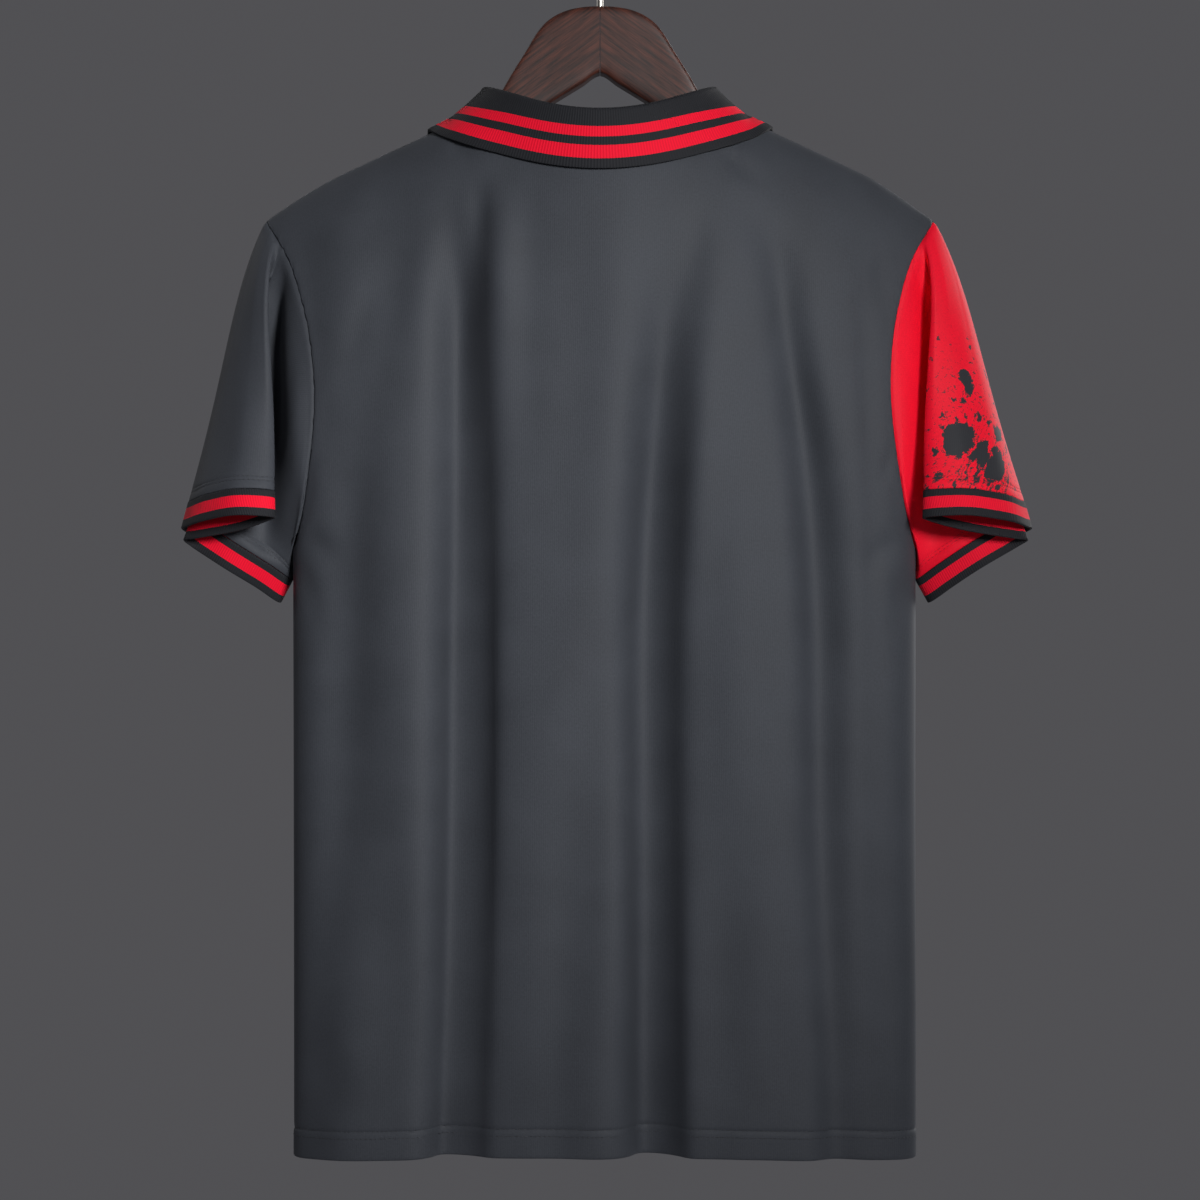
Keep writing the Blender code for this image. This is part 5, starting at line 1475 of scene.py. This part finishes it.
class BuildCollar(bpy.types.Operator):
    """Builds the striped rib collar"""
    bl_idname = "jersey.collar"
    bl_label = "Collar"

    def execute(self, context):
        colours, sizes = context.scene.jersey_colours, context.scene.jersey_sizes
        rib = rib_knit("striped polyester rib, collar", colours.rib_charcoal, colours.rib_red,
                       COLLAR_STRIPES, COLLAR_RAMP, sizes)
        grid, from_edge = collar_surface()
        uv = plain_uv(grid)
        uv[..., 0] = arc(grid, 1)[COLLAR_FOLD_ROW][None, :]
        uv[..., 1] = from_edge
        mesh = surface_mesh("collar_rib", grid, uv, flip=True)
        collar = add_piece("collar_rib", mesh, rib, ["collar"])
        add_wall(collar, sizes.rib_wall, rounded=0.0005)
        return {"FINISHED"}


class BuildPlacket(bpy.types.Operator):
    """Builds the two bands of the placket, with their stitches and buttonholes"""
    bl_idname = "jersey.placket"
    bl_label = "Placket"

    def execute(self, context):
        sizes = context.scene.jersey_sizes
        apart = sizes.wall + LAY_GAP
        face = apart + sizes.wall / 2
        lines = [stitch_line(path, normals, sizes) for path, normals in band_lines(face)]
        lines.append(buttonhole_stitches(face, sizes))
        stitches = add_stitches("placket_stitches", lines, sizes)
        for name, out, pieces in (("upper", apart, [stitches]), ("under", -apart, [])):
            grid = band_grid(out)
            mesh = surface_mesh(f"placket_{name}_band", grid, plain_uv(grid), flip=True)
            band = add_piece(f"placket_{name}_band", mesh, body_cloth(),
                             [f"placket_{name}"])
            add_wall(band, sizes.wall, rounded=0.0004)
        return {"FINISHED"}


def button_grid(around=48):
    """A button's surface about its own axis, from the middle of its face over the rim to the
    middle of its back: a turned profile with four round holes pressed into its face."""
    half, radius = BUTTON_THICKNESS / 2, BUTTON_DIAMETER / 2
    inner = np.linspace(0.06, 0.60, BUTTON_FACE_ROWS)
    profile = [(r, 0.45 - 0.10 * (1 - (r / 0.6) ** 2)) for r in inner]
    profile += [(0.68, 0.60), (0.76, 0.86), (0.84, 0.98), (0.91, 0.96), (0.97, 0.78), (1.0, 0.40),
                (0.995, 0.0), (0.96, -0.45), (0.88, -0.82), (0.76, -0.97), (0.5, -1.0), (0.2, -1.0)]
    r, h = np.array(profile).T
    turn = np.linspace(0, 2 * math.pi, around, endpoint=False)
    x = r[:, None] * np.cos(turn) * radius
    y = r[:, None] * np.sin(turn) * radius
    z = np.broadcast_to(h[:, None] * half, x.shape).copy()
    for angle in np.radians([45, 135, 225, 315]):
        spot = BUTTON_HOLE_SPREAD * np.array([math.cos(angle), math.sin(angle)])
        away = np.hypot(x - spot[0], y - spot[1]) / BUTTON_HOLE_RADIUS
        z[:BUTTON_FACE_ROWS] -= BUTTON_HOLE_DEPTH * np.exp(-(away[:BUTTON_FACE_ROWS] ** 6))
    return np.stack([x, y, z], axis=-1)


class BuildButtons(bpy.types.Operator):
    """Builds the three buttons and the thread that holds them"""
    bl_idname = "jersey.buttons"
    bl_label = "Buttons"

    def execute(self, context):
        sizes = context.scene.jersey_sizes
        resin = moulded_resin(context.scene.jersey_colours.button)
        seat = sizes.wall * 1.5 + LAY_GAP * 2 + BUTTON_THICKNESS / 2
        for number, z in enumerate(BUTTON_Z, start=1):
            middle, normal = front_surface(np.array([0.0]), np.array([z]), seat)
            normal = normal[0]
            side = np.array([1.0, 0.0, 0.0])
            up = unit(np.cross(side, normal)) * -1
            side = unit(np.cross(up, normal))
            frame_axes = np.stack([side, up, normal])
            grid = button_grid() @ frame_axes + middle[0]
            uv = plain_uv(grid, ring=True)
            mesh = surface_mesh(f"button_{number}_resin", grid, uv, ring=True, flip=True, poles=(0, -1))
            add_piece(f"button_{number}_resin", mesh, resin, [f"button_{number}"])
            self.add_thread(number, frame_axes, middle[0], sizes)
        return {"FINISHED"}

    def add_thread(self, number, axes, middle, sizes):
        """Two pairs of threads that cross between the holes."""
        face = BUTTON_THICKNESS / 2 * 0.36
        aside = sizes.thread * 0.55
        starts, ends = [], []
        for angle in np.radians([45, 135]):
            way = np.array([math.cos(angle), math.sin(angle), 0.0]) * BUTTON_HOLE_SPREAD
            square = np.array([-math.sin(angle), math.cos(angle), 0.0]) * aside
            for offset in (-square, square):
                starts.append(offset - way + (0, 0, face))
                ends.append(offset + way + (0, 0, face))
        starts = np.array(starts) @ axes + middle
        ends = np.array(ends) @ axes + middle
        normals = np.repeat(axes[2][None], len(starts), axis=0)
        mesh = stitch_mesh(f"button_{number}_thread", starts, ends, normals, sizes.thread)
        add_piece(f"button_{number}_thread", mesh, charcoal_thread())


def hanger_values(x):
    """Top, bottom and thickness of a half at each x. The crown follows its table, and the arm the
    shoulder line, rounded off at its end."""
    table = [[getattr(s, c) for s in HANGER_SECTIONS] for c in HangerSection._fields]
    top = float(ridge_z(-HANGER_ARM_X)) - HANGER_SEAT
    first = [HANGER_ARM_X, top, top - ARM_START_DEPTH, ARM_START_THICKNESS]
    knots, tops, bottoms, thicks = (np.append(column, value) for column, value in zip(table, first))
    crown = [through(knots, values, x) for values in (tops, bottoms, thicks)]
    arm_top = ridge_z(-x) - HANGER_SEAT
    deep = through(*zip(*ARM_DEPTHS), x)
    thick = through(*zip(*ARM_THICKNESSES), x)
    end = np.clip((x - HANGER_END_X) / (HANGER_REACH - HANGER_END_X), 0.0, 1.0)
    round_off = np.sqrt(1 - end**2)
    middle = arm_top - deep / 2
    arm = [middle + deep / 2 * round_off, middle - deep / 2 * round_off, thick * round_off]
    return [np.where(x < HANGER_ARM_X, c, a) for c, a in zip(crown, arm)]


def hanger_half(right, around=48):
    """Rings of a rounded box section, a superellipse, from the glued joint to the arm's end. The
    joint's edges are eased, so that the two halves part in a fine groove."""
    sign = 1.0 if right else -1.0
    joint = HANGER_JOINT_GAP / 2
    rounding = np.sin(np.linspace(0, 1, 10)[1:] * math.pi / 2) * 0.9995
    end = HANGER_END_X + (HANGER_REACH - HANGER_END_X) * rounding
    x = np.concatenate([[joint, joint + 0.00015, joint + JOINT_CHAMFER],
                        np.linspace(0.0025, HANGER_END_X, 84), end])
    top, bottom, thick = hanger_values(x)
    eased = np.zeros_like(x)
    eased[:2] = JOINT_CHAMFER, JOINT_CHAMFER * 0.4
    top, bottom, thick = top - eased, bottom + eased, thick - 2 * eased
    turn = np.linspace(0, 2 * math.pi, around, endpoint=False) + math.pi / around
    side = np.sign(np.cos(turn)) * np.abs(np.cos(turn)) ** (2 / HANGER_POWER)
    rise = np.sign(np.sin(turn)) * np.abs(np.sin(turn)) ** (2 / HANGER_POWER)
    z = ((top + bottom) / 2)[:, None] + rise[None, :] * ((top - bottom) / 2)[:, None]
    forward = shoulder_forward(x, np.full_like(x, SHOULDER_TIP_Z))
    y = forward[:, None] + side[None, :] * thick[:, None] / 2
    x = np.broadcast_to(x[:, None], z.shape)
    under_cloth = surface_z(-x, y) - HANGER_SEAT
    z = np.where(x > NECK_HALF_WIDTH - 0.0005, np.minimum(z, under_cloth), z)
    return np.stack([sign * x, y, z], axis=-1)


class BuildHanger(bpy.types.Operator):
    """Builds the two halves of the wooden hanger"""
    bl_idname = "jersey.hanger"
    bl_label = "Hanger"

    def execute(self, context):
        colours = context.scene.hanger_colours
        wood = stained_wood(colours.wood_dark, colours.wood_warm)
        for right, name in ((True, "right"), (False, "left")):
            grid = hanger_half(right)
            mesh = surface_mesh(f"hanger_wood_{name}", grid, plain_uv(grid, ring=True), ring=True,
                                flip=not right, poles=(0, -1))
            mesh.set_sharp_from_angle(angle=math.radians(45))
            add_piece(f"hanger_wood_{name}", mesh, wood, [f"hanger_{name}"])
        return {"FINISHED"}


def hook_route():
    """The wire's middle line: up from the wood, a bend to one side and an open round."""
    radius = HOOK_INNER_RADIUS + HOOK_WIRE / 2
    turn = np.radians(np.linspace(HOOK_JOIN_DEG, HOOK_TIP_DEG, 90))
    loop = np.stack([radius * np.cos(turn), -HOOK_INNER_RADIUS + radius * np.sin(turn)], axis=-1)
    foot = np.array([[0.0, HANGER_SECTIONS[0].top - HOOK_SUNK], [0.0, HOOK_NECK_Z]])
    knee = np.array([0.0, HOOK_KNEE_Z])
    t = np.linspace(0, 1, 22)[:, None]
    way = np.array([-math.sin(turn[0]), math.cos(turn[0])])
    pull = HOOK_BEND_PULL
    bend = ((2 * t**3 - 3 * t**2 + 1) * knee + (t**3 - 2 * t**2 + t) * pull * np.array([0.0, 1.0])
            + (3 * t**2 - 2 * t**3) * loop[0] + (t**3 - t**2) * pull * way)
    flat = np.concatenate([foot, bend[:-1], loop])
    return np.stack([flat[:, 0], np.zeros(len(flat)), flat[:, 1]], axis=-1)


class BuildHook(bpy.types.Operator):
    """Builds the steel hook"""
    bl_idname = "jersey.hook"
    bl_label = "Hook"

    def execute(self, context):
        route = hook_route()
        tip = unit(route[-1] - route[-2])
        ease_out = np.linspace(0, math.pi / 2, 7)[1:]
        route = np.concatenate([route, route[-1] + tip * np.sin(ease_out)[:, None] * HOOK_WIRE * 0.35])
        radius = np.full(len(route), HOOK_WIRE / 2)
        radius[-6:] *= np.maximum(np.cos(ease_out), 0.05)
        way = unit(np.gradient(route, axis=0))
        side = np.array([0.0, 1.0, 0.0])
        across = np.cross(way, side)
        turn = np.linspace(0, 2 * math.pi, 24, endpoint=False)[None, :, None]
        grid = route[:, None] + radius[:, None, None] * (side * np.cos(turn)
                                                         + across[:, None] * np.sin(turn))
        mesh = surface_mesh("hook_wire", grid, plain_uv(grid, ring=True), ring=True, poles=(0, -1))
        mesh.set_sharp_from_angle(angle=math.radians(60))
        add_piece("hook_wire", mesh, brushed_steel(context.scene.hanger_colours.steel),
                  ["hanger_hook"])
        return {"FINISHED"}


def aim(obj, target):
    """Turns a light or camera towards a point."""
    way = np.asarray(target, float) - np.array(obj.location)
    flat = math.hypot(way[0], way[1])
    obj.rotation_euler = (math.atan2(flat, -way[2]), 0.0, math.atan2(way[1], way[0]) - math.pi / 2)


class BuildStudio(bpy.types.Operator):
    """Builds the floor, the lights and the camera"""
    bl_idname = "jersey.studio"
    bl_label = "Studio"

    def execute(self, context):
        scene, studio = context.scene, context.scene.jersey_studio
        floor_z = HEM_Z - studio.floor_drop
        radius = np.linspace(0.5, FLOOR_RADIUS, 12)[:, None]
        turn = np.linspace(0, 2 * math.pi, 96, endpoint=False)
        flat = [radius * np.cos(turn), radius * np.sin(turn), np.full((12, 96), floor_z)]
        grid = np.stack(flat, axis=-1)
        mesh = surface_mesh("floor", grid, plain_uv(grid, ring=True), ring=True, flip=True, poles=(0,))
        floor = bpy.data.objects.new("floor", mesh)
        floor.data.materials.append(matt_paper(studio.floor))
        scene.collection.objects.link(floor)
        world = bpy.data.worlds.new("studio air")
        world.use_nodes = True
        air = world.node_tree.nodes["Background"]
        air.inputs["Color"].default_value = rgba(studio.floor)
        air.inputs["Strength"].default_value = studio.air
        scene.world = world
        # The key is narrow and comes from the right: it shades the valleys and spares the right
        # sleeve. The fill opens the shadows. The front ones light the side the photo hides.
        left_half, middle = (-0.20, 0.0, -0.45), (0.0, 0.0, -0.42)
        lights = [("key", (1.05, -2.32, 0.20), left_half, studio.key, 0.6, 34),
                  ("fill", (-0.55, -2.30, 0.80), middle, studio.fill, 0.8, 180),
                  ("front key", (2.60, 2.60, 0.60), middle, studio.front, 2.2, 180),
                  ("front fill", (-2.20, 1.60, 1.00), middle, studio.front / 6, 2.0, 180)]
        for name, place, target, power, size, spread in lights:
            lamp = bpy.data.lights.new(name, "AREA")
            lamp.energy = power
            lamp.size = size
            lamp.spread = math.radians(spread)
            obj = bpy.data.objects.new(name, lamp)
            obj.location = place
            aim(obj, target)
            scene.collection.objects.link(obj)
        camera = bpy.data.objects.new("camera", bpy.data.cameras.new("camera"))
        camera.data.lens = CAMERA_LENS_MM
        camera.data.sensor_width = CAMERA_SENSOR_MM
        camera.location = (0.0, -CAMERA_DISTANCE, CAMERA_Z)
        camera.rotation_euler = (math.pi / 2, 0.0, 0.0)
        scene.collection.objects.link(camera)
        scene.camera = camera
        scene.view_settings.view_transform = "Standard"
        return {"FINISHED"}


OPERATORS = [BuildHanger, BuildHook, BuildPanels, BuildSleeves, BuildCuffs, BuildCollar, BuildPlacket,
             BuildButtons, BuildStudio]


class JerseyPanel(bpy.types.Panel):
    """Lists the pieces of the jersey and its settings"""
    bl_idname = "VIEW3D_PT_jersey"
    bl_label = "Jersey"
    bl_space_type = "VIEW_3D"
    bl_region_type = "UI"
    bl_category = "Jersey"

    def draw(self, context):
        for operator in OPERATORS:
            self.layout.operator(operator.bl_idname)
        for name in SETTINGS:
            group = getattr(context.scene, name)
            for key in group.bl_rna.properties.keys():
                if key not in ("rna_type", "name"):
                    self.layout.prop(group, key)


SETTINGS = {"jersey_sizes": JerseySizes, "jersey_colours": JerseyColours,
            "hanger_colours": HangerColours, "jersey_studio": StudioSizes}


def register():
    """Registers the settings, the operators and the panel."""
    for made in [*SETTINGS.values(), *OPERATORS, JerseyPanel]:
        bpy.utils.register_class(made)
    for name, made in SETTINGS.items():
        setattr(bpy.types.Scene, name, bpy.props.PointerProperty(type=made))


def unregister():
    """Takes them out again, last first."""
    for name in SETTINGS:
        delattr(bpy.types.Scene, name)
    for made in reversed([*SETTINGS.values(), *OPERATORS, JerseyPanel]):
        bpy.utils.unregister_class(made)


def main():
    """Builds everything in order."""
    register()
    bpy.ops.jersey.hanger()
    bpy.ops.jersey.hook()
    bpy.ops.jersey.panels()
    bpy.ops.jersey.sleeves()
    bpy.ops.jersey.cuffs()
    bpy.ops.jersey.collar()
    bpy.ops.jersey.placket()
    bpy.ops.jersey.buttons()
    bpy.ops.jersey.studio()


if __name__ == "__main__":
    main()
